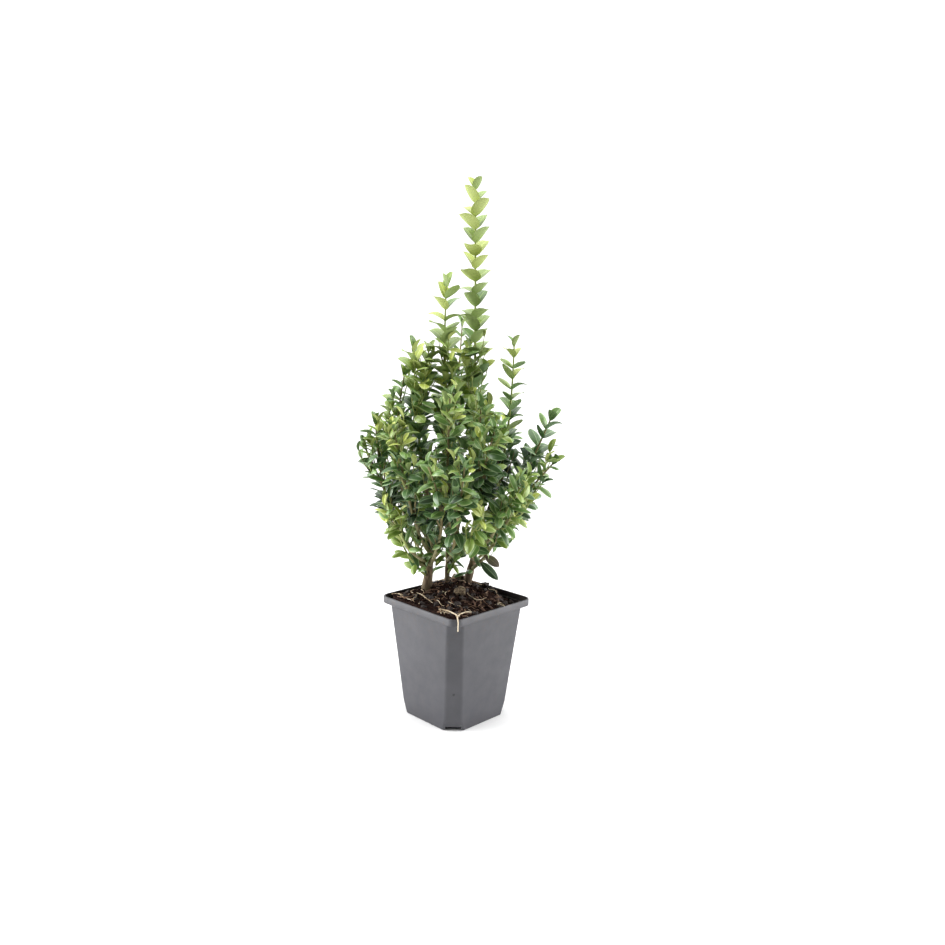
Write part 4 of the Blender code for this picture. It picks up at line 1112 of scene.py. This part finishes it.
def make_roots():
    rng = random.Random(SEED + 1)
    bare, brown = [], []
    for corners, radius in ROOTS:
        points = lay(smooth_run(corners), radius * MM)
        count = len(points) - 1
        bare.append((points, [radius * MM * (1.0 - ROOT_TAPER * (k / count) ** 2) for k in range(count + 1)]))
    for corners, radius in RIM_ROOTS:
        points = smooth_run(corners)
        count = len(points)
        bare.append((points, [radius * MM * (1.0 - RIM_ROOT_TAPER * k / count) for k in range(count)]))
    for index in range(FIBRES):
        place = mm(rng.uniform(-FIBRE_REACH, FIBRE_REACH), rng.uniform(-FIBRE_REACH, FIBRE_REACH), 0.0)
        place.rotate(Euler((0.0, 0.0, POT_TURN)))
        heading = rng.uniform(0.0, FULL_TURN)
        radius = rng.uniform(*FIBRE_RADIUS) * MM
        points = []
        for _ in range(rng.randint(*FIBRE_STEPS)):
            if wall_distance(place.x, place.y) < FIBRE_WALL_GAP:
                break
            points.append(place.copy())
            heading += rng.uniform(-FIBRE_BEND, FIBRE_BEND)
            place += Vector((cos(heading), sin(heading), 0.0)) * FIBRE_STEP * MM
        if len(points) >= FIBRE_LEAST:
            points = lay(points, radius + rng.uniform(0.0, FIBRE_LIFT) * MM)
            (bare if index % 3 == 0 else brown).append((points, [radius] * len(points)))
    attach(run_object("bare_roots", bare, grained("root fibre")), "compost")
    attach(run_object("peat_fibres", brown, grained("weathered wood chip")), "compost")


def make_lumps():
    for name, finish, rows in LUMPS:
        finish = grained(finish)
        for index, (x, y, size, seed) in enumerate(rows):
            lump = lump_form("%s_%d" % (name, index), (1.0, 0.8, 0.8), 0.5, seed, 4)
            place = mm(x, y, 0)
            seat = Vector((place.x, place.y, soil_top(place.x, place.y) + size * LUMP_RISE))
            lump.data.transform(Matrix.Translation(seat) @ Matrix.Scale(size, 4))
            lump.data.materials.append(finish)
            lump.data.shade_smooth()
            attach(lump, "compost")


# ======== runs: trunks, boughs, twigs and roots

def limb_tree():
    """Tubes round a network of lines, with a relief of ridges along them."""
    tree, given = geometry_tree("limb runs", Sides="Int", Relief="Float", Ridge="Float", Finish="Material")
    curve = node(tree, "GeometryNodeMeshToCurve", {"Mesh": given["Geometry"]})
    profile = node(tree, "GeometryNodeCurvePrimitiveCircle", {"Resolution": given["Sides"], "Radius": 1.0})
    tube = node(tree, "GeometryNodeCurveToMesh", {
        "Curve": curve, "Profile Curve": profile, "Scale": read_marks(tree, "thick", "FLOAT"),
        "Fill Caps": True})
    flat = vectors(tree, "MULTIPLY", node(tree, "GeometryNodeInputPosition"), (1.0, 1.0, 0.22))
    ridges = noise_on(tree, vectors(tree, "DIVIDE", flat, given["Ridge"]), 1.0, roughness=0.5)
    depth = maths(tree, "MULTIPLY", maths(tree, "SUBTRACT", ridges, 0.5), given["Relief"])
    offset = vectors(tree, "SCALE", node(tree, "GeometryNodeInputNormal"), depth)
    moved = node(tree, "GeometryNodeSetPosition", {"Geometry": tube, "Offset": offset})
    smooth = node(tree, "GeometryNodeSetShadeSmooth", {"Geometry": moved})
    return end_tree(tree, smooth, (True, given["Finish"]))


LIMB_TREE = limb_tree()
# The tubes of each object: their sides, and how deep and how wide the ridges are, in millimetres.
TUBES = {
    "trunk_left_bark": (22, 1.1, 2.0),
    "trunk_middle_bark": (22, 1.1, 2.0),
    "trunk_right_bark": (22, 1.1, 2.0),
    "boughs_bark": (14, 0.5, 1.6),
    "green_twigs": (6, 0.1, 3.0),
    "woody_twigs": (6, 0.15, 3.0),
    "bare_roots": (7, 0.25, 2.0),
    "peat_fibres": (5, 0.1, 2.0),
}


def run_object(name, runs, finish):
    """One object of tubes. A run is its points and the radius at each."""
    sides, relief, ridge = TUBES[name]
    verts, edges, radii = [], [], []
    for points, widths in runs:
        base = len(verts)
        verts += points
        radii += widths
        edges += [(base + i, base + i + 1) for i in range(len(points) - 1)]
    item = mesh_object(name, verts, [], edges=edges)
    add_marks(item, "thick", "FLOAT", radii)
    return run_tree(item, LIMB_TREE, Sides=sides, Relief=relief * MM, Ridge=ridge * MM, Finish=finish)


def tapered(path, radius, end_radius, spacing, flare=0.0):
    """The run of a limb along a path."""
    points = sample_path(path, spacing)
    length = path_length(path)
    widths = []
    for i in range(len(points)):
        t = i / (len(points) - 1)
        wide = radius + (end_radius - radius) * t
        widths.append(wide * (1.0 + flare * smooth_fall(t * length / FLARE_HEIGHT)))
    return points, widths


def make_limbs():
    bark = boxwood_bark()
    for name, trunk in TRUNKS.items():
        run = tapered(limb_path(name), trunk.radius, trunk.end_radius, 0.8 * MM, FLARE)
        attach(run_object(name + "_bark", [run], bark), "bark", name)
    runs = [tapered(limb_path(name), bough.radius, bough.end_radius, 1.0 * MM)
            for name, bough in BOUGHS.items()]
    attach(run_object("boughs_bark", runs, grained("green bark")), "bark", *BOUGHS)


# ======== leaves

LEAF_ROWS = (0.0, 0.09, 0.25, 0.44, 0.64, 0.82, 0.94)
RIB_SHARE = 0.06                    # half width of the midrib, over the leaf's half width
# the pale margin band is partly a painted highlight along the leaf's edge
MARGIN_SHARE = 0.86                 # where the pale margin starts
LEAF_ACROSS = (-1.0, -MARGIN_SHARE, -RIB_SHARE, RIB_SHARE, MARGIN_SHARE, 1.0)
LEAF_THICKNESS = 0.03               # over the length
LEAF_SHARP = radians(70.0)
ARCH = 1.2                          # a blade arches over by this power of the way along it
ARCH_STEPS = 12
PETIOLE = 0.13                      # the least width of the blade, over its widest
# A form of leaf: how far it arches over, how its sides roll down (or cup up, below 0), its twist, and how
# blunt its stalk end and its tip are.
Form = namedtuple("Form", "bend roll twist base tip", defaults=(0.68, 0.66))
FORMS = (
    Form(0.60, 0.10, 0.10), Form(1.00, 0.18, 0.12), Form(1.50, 0.26, -0.15), Form(1.25, 0.14, -0.20),
    Form(0.45, -0.30, 0.05), Form(0.80, -0.22, -0.1), Form(1.15, -0.15, 0.1),
    Form(0.25, -0.22, 0.08, 0.42, 0.5), Form(0.50, -0.18, -0.08, 0.44, 0.5),
    Form(0.95, -0.12, 0.1, 0.5, 0.52),
)
# Points along and across the blade, off its stalk, and the triangles between them: its rough outline.
OUTLINE = ((0.12, 0.0), (0.45, -1.0), (0.45, 0.0), (0.45, 1.0), (0.8, -1.0), (0.8, 0.0), (0.8, 1.0),
           (1.0, 0.0))
OUTLINE_FACES = ((0, 2, 1), (0, 3, 2), (1, 2, 5), (1, 5, 4), (2, 3, 6), (2, 6, 5), (4, 5, 7), (5, 6, 7))
Leaf = namedtuple("Leaf", "root heading face length width form tone mass")
Shoot = namedtuple("Shoot", "path radius size broad first pace old young mass order")


def half_width(form, t):
    """Half the width of a rounded blade of unit width, from its stalk to its tip."""
    belly = form.base / (form.base + form.tip)
    widest = belly ** form.base * (1.0 - belly) ** form.tip
    return 0.5 * max(PETIOLE, t ** form.base * (1.0 - t) ** form.tip / widest)


def spine(form, t):
    """The middle line of an arched blade of unit length: its place and its slope."""
    y = z = 0.0
    for i in range(ARCH_STEPS):
        slope = form.bend * ((i + 0.5) / ARCH_STEPS * t) ** ARCH
        y += cos(slope) * t / ARCH_STEPS
        z -= sin(slope) * t / ARCH_STEPS
    return y, z, form.bend * t ** ARCH


def blade_point(form, t, u, lift=0.0):
    """A point of the blade: u runs from -1 to 1 across it, and lift stands off it."""
    y, z, slope = spine(form, t)
    wide = half_width(form, t)
    twist = form.twist * t
    x = u * wide * cos(twist)
    fold = u * u if form.roll > 0.0 else abs(u)
    height = lift - form.roll * fold * wide + u * wide * sin(twist)
    return Vector((x, y + height * sin(slope), z + height * cos(slope)))


def leaf_form(index, form, group):
    """A closed blade of unit length and width, with faces marked as underside, or as midrib and margin."""
    verts = [blade_point(form, t, u) for t in LEAF_ROWS for u in LEAF_ACROSS]
    tip = len(verts)
    rib = tip + 1
    verts.append(blade_point(form, 1.0, 0.0))
    verts += [blade_point(form, t, 0.0, -LEAF_THICKNESS * (1.0 - 0.5 * t)) for t in LEAF_ROWS]
    wide = len(LEAF_ACROSS)
    upper = range(wide - 1)
    last = tip - wide
    faces = []                      # corners, whether it is pale, and whether it is on the underside
    # strips at the margin and the midrib are marked pale; the margin's paleness is partly a painted highlight
    for low in range(0, last, wide):
        faces += [((low + k, low + k + 1, low + wide + k + 1, low + wide + k), k % 2 == 0, False)
                  for k in upper]
        faces += [((low, low + wide, rib + 1, rib), False, True),
                  ((low + wide - 1, rib, rib + 1, low + 2 * wide - 1), False, True)]
        rib += 1
    faces += [((last + k, last + k + 1, tip), k % 2 == 0, False) for k in upper]
    faces += [((last, tip, rib), False, True), ((tip - 1, rib, tip), False, True),
              ((0, tip + 1, *reversed(range(1, wide))), True, True)]
    corners, pale, under = zip(*faces)
    item = mesh_object("leaf_form_%d" % index, verts, corners, group=group)
    item.data.set_sharp_from_angle(angle=LEAF_SHARP)
    add_marks(item, "pale", "BOOLEAN", pale, "FACE")
    add_marks(item, "underside", "BOOLEAN", under, "FACE")


def leaf_tree():
    """Leaves on points that carry a turn, a size and the number of a form."""
    tree, given = geometry_tree("leaf sprays", Forms="Collection", Upper="Material", Underside="Material",
                                Midrib="Material")
    number = read_marks(tree, "form", "INT")
    turn = read_marks(tree, "turn", "QUATERNION")
    size = read_marks(tree, "size", "FLOAT_VECTOR")
    leaves = stand_forms(tree, given["Forms"], given["Geometry"], number, turn, size)
    return end_tree(tree, leaves, (True, given["Upper"]),
                    (read_marks(tree, "underside", "BOOLEAN"), given["Underside"]),
                    (read_marks(tree, "pale", "BOOLEAN"), given["Midrib"]))


def leaf_axes(leaf):
    """Side, heading and upper normal of a leaf."""
    side = leaf.heading.cross(leaf.face).normalized()
    return side, leaf.heading, side.cross(leaf.heading).normalized()


def blade_outline(leaf):
    """The rough outline of the arched blade, for the tests of its room."""
    side, heading, normal = leaf_axes(leaf)
    flats = [blade_point(FORMS[leaf.form], t, u) for t, u in OUTLINE]
    return [leaf.root + side * flat.x * leaf.width + (heading * flat.y + normal * flat.z) * leaf.length
            for flat in flats]


def point_tree(points):
    tree = KDTree(len(points))
    for index, point in enumerate(points):
        tree.insert(point, index)
    tree.balance()
    return tree


def solid_tree(name):
    """The faces of a node's solid, to find how far off it a point is."""
    mesh = frame["nodes"][name].data
    return BVHTree.FromPolygons([v.co for v in mesh.vertices], [tuple(p.vertices) for p in mesh.polygons])


def limb_cloud():
    """Points along the trunks and boughs, with the radius at each."""
    limbs = [(name, trunk.radius * (1.0 + FLARE / 2.0), trunk.end_radius) for name, trunk in TRUNKS.items()]
    limbs += [(name, bough.radius, bough.end_radius) for name, bough in BOUGHS.items()]
    rows = []
    for name, radius, end_radius in limbs:
        points = sample_path(limb_path(name), 1.5 * MM)
        rows += [(*point, radius + (end_radius - radius) * i / (len(points) - 1))
                 for i, point in enumerate(points)]
    return np.array(rows)


def lowest_leaf(x):
    start, run, rise = BARE_RIGHT
    return LEAF_LOWEST + rise * clamp((x - start) / run)


def out_of_middle(point):
    return hypot(point.x - CROWN_MIDDLE.x, point.y - CROWN_MIDDLE.y)


def tone_of(age):
    return AGES[max(0, min(len(AGES) - 1, round(age)))]


def twig_path(start, out, length, up):
    """A twig that runs outwards and then turns up."""
    bend = start + out * length * TWIG_OUT
    return start, bend, bend + up.normalized() * length * TWIG_UP


class Crown:
    """All the shoots and leaves as they grow, each mass in the reach of its own solid."""

    def __init__(self):
        self.rng = random.Random(SEED)
        self.shoots = []
        self.leaves = []
        self.blades = []
        self.centres = np.zeros((0, 3))
        self.taken = set()          # nodes of a shoot where a twig stands in place of a leaf
        self.twig_points = []       # place and number of the shoot
        self.solids = {name: solid_tree(name) for name in MASSES}
        self.bearers = {name: point_tree(sample_path(limb_path(mass.carrier), 3.0 * MM))
                        for name, mass in MASSES.items()}
        self.limbs = limb_cloud()
        self.low = CAD_BOX[0] - BOX_MARGIN
        self.high = CAD_BOX[1] + BOX_MARGIN

    def in_reach(self, points, mass, outer=OUTER_MARGIN):
        """True if the points keep near their mass's solid, in the box and off the limbs."""
        for point in points:
            if any(point[k] < self.low[k] or point[k] > self.high[k] for k in range(3)):
                return False
            if point.z < lowest_leaf(point.x):
                return False
            nearest, _, _, away = self.solids[mass].find_nearest(point)
            if out_of_middle(point) > out_of_middle(nearest) + outer:
                return False
            if away > max(REACH_MARGIN, outer):
                rise = (point.z - LOW_SPUR_HEIGHT) / (HIGH_SPUR_HEIGHT - LOW_SPUR_HEIGHT)
                far = LOW_SPUR_REACH + (SPUR_REACH - LOW_SPUR_REACH) * clamp(rise)
                if self.bearers[mass].find(point)[2] > far:
                    return False
        return self.off_limbs(points)

    def off_limbs(self, points):
        cloud = np.array([tuple(p) for p in points])
        away = np.sqrt(((cloud[:, None, :] - self.limbs[None, :, :3]) ** 2).sum(axis=2))
        return bool((away - self.limbs[None, :, 3] > LIMB_GAP).all())

    def add_shoot(self, *fields):
        shoot = Shoot(*fields)
        self.twig_points += [(point, len(self.shoots)) for point in sample_path(shoot.path, POINT_STEP)]
        self.shoots.append(shoot)

    def start_masses(self):
        for name, mass in MASSES.items():
            first = FIRST_NODE if mass.height is None else SIDE_FIRST_NODE
            pace = HABITS.get(name, COMMON).pace
            self.add_shoot(stem_path(mass), STEM_RADIUS, mass.leaf, mass.broad, first, pace,
                           mass.old, mass.young, name, 0)
            for path in fork_paths(mass):
                self.add_shoot(path, TWIG_RADIUS, mass.leaf * 0.95, mass.broad, SIDE_FIRST_NODE, pace,
                               mass.old - 0.5, mass.young, name, 0)

    def start_spurs(self):
        """Short leafy spurs on the boughs themselves, one at a time from the bough's foot to its end."""
        rng = self.rng
        for name, mass in MASSES.items():
            path = limb_path(mass.carrier)
            if mass.carrier in BOUGHS:
                (low, high), spacing = SPUR_SHARES, SPUR_SPACING
            elif mass.height and mass.height < TRUNK_SPURS[1]:
                low, high = (share_at_height(path, h) for h in TRUNK_SPURS)
                spacing = TRUNK_SPUR_SPACING
            else:
                continue
            count = max(1, int(path_length(path) * (high - low) / spacing))
            for k in range(count):
                t = low + (high - low) * (k + rng.random() * 0.8) / count
                start = path_point(path, t)
                if start.z < SPUR_LOWEST:
                    continue
                out = lean(path, t, TWIG_ANGLE + rng.uniform(0.0, SPUR_OPEN), rng.uniform(0.0, FULL_TURN))
                line = twig_path(start, out, rng.uniform(*SPUR_LENGTHS) * MM, UP + out * 0.5)
                if self.in_reach([path_point(line, s) for s in (0.6, 1.0)], name):
                    self.add_shoot(line, FINE_RADIUS, SPUR_SIZE, 1.0, TWIG_FIRST_NODE, SIDE_PACE,
                                   SPUR_OLD, rng.uniform(*SPUR_YOUNG), name, 1)

    def nodes_of(self, shoot):
        """Shares along a shoot where its pairs stand: even at first, then closer towards the tip."""
        length = path_length(shoot.path)
        count = max(1, round((length - shoot.first) / shoot.pace))
        run = length * 0.99 - shoot.first
        even = [k / count for k in range(count + 1)]
        shares = [share * (1.0 + CROWDING - CROWDING * share) for share in even]
        return [(shoot.first + run * share) / length for share in shares]

    def spin(self, number):
        """Which way the first pair of a shoot faces."""
        shoot = self.shoots[number]
        if shoot.mass in HABITS and shoot.order == 0:
            return HABITS[shoot.mass].spin
        rng = random.Random(SEED + number * 7)
        return pi / 4.0 + rng.uniform(-0.35, 0.35) if shoot.order == 0 else rng.uniform(0.0, pi / 2.0)

    def branch(self, order, chance, reach, limit):
        """Twigs from the shoots of one order: they spring from leaf axils and turn up."""
        for number, shoot in enumerate(list(self.shoots)):
            if shoot.order != order:
                continue
            made = 0
            spin = self.spin(number)
            for k, t in enumerate(self.nodes_of(shoot)):
                if t > TWIG_LAST or path_point(shoot.path, t).z > TWIG_TOPS.get(shoot.mass, TWIG_HIGHEST):
                    continue
                for half in (0, 1):
                    around = spin + k * pi / 2.0 + half * pi
                    if self.rng.random() > chance or made >= limit:
                        continue
                    if self.side_twig(shoot, number, t, around, reach):
                        self.taken.add((number, k, half))
                        made += 1

    def side_twig(self, shoot, number, t, around, reach):
        rng = self.rng
        out = lean(shoot.path, t, TWIG_ANGLE + rng.uniform(*TWIG_ANGLE_SPREAD), around)
        length = reach * rng.uniform(*TWIG_LENGTHS) * (1.0 - TWIG_TAPER * t)
        up = UP + path_heading(shoot.path, t) * 0.5 + out * 0.35
        path = twig_path(path_point(shoot.path, t), out, length, up)
        points = [path_point(path, s) for s in (0.35, 0.55, 0.75, 1.0)]
        if not self.in_reach(points, shoot.mass):
            return False
        for place, other in self.twig_points:
            if other != number and any((p - place).length < TWIG_ROOM for p in points):
                return False
        age = shoot.old + (shoot.young - shoot.old) * t
        often, more = FLUSH
        fresh = max(0.0, age - rng.uniform(0.0, TWIG_YOUNGER) - (more if rng.random() < often else 0.0))
        radius = TWIG_RADIUS if shoot.order == 0 else FINE_RADIUS
        self.add_shoot(path, radius, shoot.size * 0.96, shoot.broad, TWIG_FIRST_NODE, SIDE_PACE,
                       age, fresh, shoot.mass, shoot.order + 1)
        return True

    def leaf_out(self):
        """Leaf every shoot, the main shoots first, so that their pairs stand in order."""
        self.twig_tree = point_tree([place for place, _ in self.twig_points])
        for number, shoot in sorted(enumerate(self.shoots), key=lambda row: row[1].order):
            self.rng = random.Random(SEED + number)
            shares = self.nodes_of(shoot)
            spin = self.spin(number)
            for k, t in enumerate(shares):
                for half in (0, 1):
                    if (number, k, half) in self.taken and self.rng.random() < 1.0 - LEAF_AT_TWIG:
                        continue
                    around = spin + k * pi / 2.0 + half * pi
                    self.try_leaf(shoot, number, t, around, min(2, len(shares) - 1 - k))
            size = shoot.size * BUD_SIZE
            for half in (0, 1):
                heading = lean(shoot.path, 1.0, BUD_ANGLE, spin + len(shares) * pi / 2.0 + half * pi)
                self.place(Leaf(shoot.path[2] - heading * ROOT_SINK, heading, path_heading(shoot.path, 1.0),
                                LEAF_LENGTH * size, LEAF_WIDTH * size, COMMON.young[0],
                                tone_of(shoot.young - 0.5), shoot.mass), number)

    def try_leaf(self, shoot, number, t, around, from_tip):
        """A leaf at a node, in the first way that finds room; from_tip is 0 for the last pair."""
        rng = self.rng
        habit = HABITS.get(shoot.mass, COMMON) if shoot.order == 0 else COMMON
        outer = OUTER_MARGIN if habit is COMMON else SPIRE_MARGIN
        size = shoot.size * rng.uniform(*SIZE_SPREAD) * TIP_SIZES[from_tip]
        tone = tone_of(shoot.old + (shoot.young - shoot.old) * t + rng.gauss(0.0, AGE_SPREAD))
        form = rng.choice(habit.grown if from_tip else habit.young)
        upright = radians(habit.open[from_tip]) + rng.uniform(-JITTER, JITTER)
        for turn, shrink, open_more in TRIES:
            heading = lean(shoot.path, t, upright + open_more, around + turn + rng.uniform(-JITTER, JITTER))
            root = path_point(shoot.path, t) - heading * ROOT_SINK
            width = LEAF_WIDTH * size * shrink * shoot.broad * rng.uniform(*WIDTH_SPREAD)
            leaf = Leaf(root, heading, path_heading(shoot.path, t), LEAF_LENGTH * size * shrink, width,
                        form, tone, shoot.mass)
            if self.place(leaf, number, outer):
                return

    def leaf_trunks(self):
        """Single leaves that stand out from the trunks below the crown."""
        rng = self.rng
        for name, (low, high, tries) in TRUNK_LEAVES.items():
            path = limb_path(name)
            for _ in range(tries):
                t = share_at_height(path, rng.uniform(low, high) * MM)
                around = rng.uniform(0.0, FULL_TURN)
                heading = lean(path, t, radians(rng.uniform(*TRUNK_LEAF_ANGLES)), around)
                size = rng.uniform(*TRUNK_LEAF_SIZES)
                tone = rng.choice(TRUNK_LEAF_TONES)
                root = path_point(path, t) + heading * TRUNKS[name].radius * 0.8
                leaf = Leaf(root, heading, UP, LEAF_LENGTH * size, LEAF_WIDTH * size,
                            rng.choice(TRUNK_LEAF_FORMS), tone, None)
                points = blade_outline(leaf)[1:]
                if min(p.z - lowest_leaf(p.x) for p in points) > -TRUNK_DROOP and self.off_limbs(points[3:]):
                    self.place(leaf)

    def place(self, leaf, number=None, outer=OUTER_MARGIN):
        """Keep a leaf if it has room; number is that of its own shoot."""
        points = blade_outline(leaf)
        if number is not None and not self.in_reach(points[4:], leaf.mass, outer):
            return False
        for point in points[1:]:
            near = self.twig_tree.find_range(point, LEAF_ROOM)
            if any(self.twig_points[index][1] != number for _, index, _ in near):
                return False
        blade = BVHTree.FromPolygons(points, OUTLINE_FACES)
        centre = np.array(tuple(points[2]))
        near = np.nonzero(np.abs(self.centres - centre).max(axis=1) < NEIGHBOURS)[0]
        if any(blade.overlap(self.blades[i]) for i in near):
            return False
        self.centres = np.vstack([self.centres, centre])
        self.blades.append(blade)
        self.leaves.append(leaf)
        return True


def grow_crown():
    crown = Crown()
    crown.start_masses()
    crown.start_spurs()
    for order, (chance, reach, limit) in enumerate(TWIG_ORDERS):
        crown.branch(order, chance, reach, limit)
    crown.leaf_out()
    crown.leaf_trunks()
    for root, tip, tone in STRAYS:
        run = tip - root
        crown.leaves.append(Leaf(root, run.normalized(), STRAY_FACE, run.length, LEAF_WIDTH, 0, tone, None))
    return crown


def make_twigs(crown):
    green, woody = [], []
    for shoot in crown.shoots:
        age = (shoot.old + shoot.young) / 2.0
        end_radius = STEM_TIP_RADIUS if shoot.order == 0 else TIP_RADIUS
        run = tapered(shoot.path, shoot.radius, end_radius, POINT_STEP)
        (woody if age > WOODY_AGE and shoot.order < 2 else green).append(run)
    fresh_bark = principled("green shoot", "#96A058", 0.5)
    dull_bark = principled("woody shoot", "#857A52", 0.7)
    attach(run_object("green_twigs", green, fresh_bark), "foliage", *MASSES)
    attach(run_object("woody_twigs", woody, dull_bark), "bark", *MASSES)


def make_leaves(crown):
    group = bpy.data.collections.new("leaf forms")
    for index, form in enumerate(FORMS):
        leaf_form(index, form, group)
    tree = leaf_tree()
    for tone in TONES:
        leaves = [leaf for leaf in crown.leaves if leaf.tone == tone]
        item = mesh_object(tone + "_leaves", [leaf.root for leaf in leaves], [])
        turns = [Matrix(leaf_axes(leaf)).transposed().to_quaternion() for leaf in leaves]
        sizes = [(leaf.width, leaf.length, leaf.length) for leaf in leaves]
        add_marks(item, "turn", "QUATERNION", [part for turn in turns for part in turn])
        add_marks(item, "size", "FLOAT_VECTOR", [part for size in sizes for part in size], field="vector")
        add_marks(item, "form", "INT", [leaf.form for leaf in leaves])
        run_tree(item, tree, Forms=group, **leaf_finishes(tone))
        attach(item, "foliage", *sorted({leaf.mass for leaf in leaves if leaf.mass}))
    remove_group(group)


def main():
    make_camera()
    make_light()
    make_floor()
    make_pot()
    make_gate_mark()
    top = make_compost()
    strew(top)
    remove(top)
    make_roots()
    make_lumps()
    make_limbs()
    crown = grow_crown()
    make_twigs(crown)
    make_leaves(crown)


main()
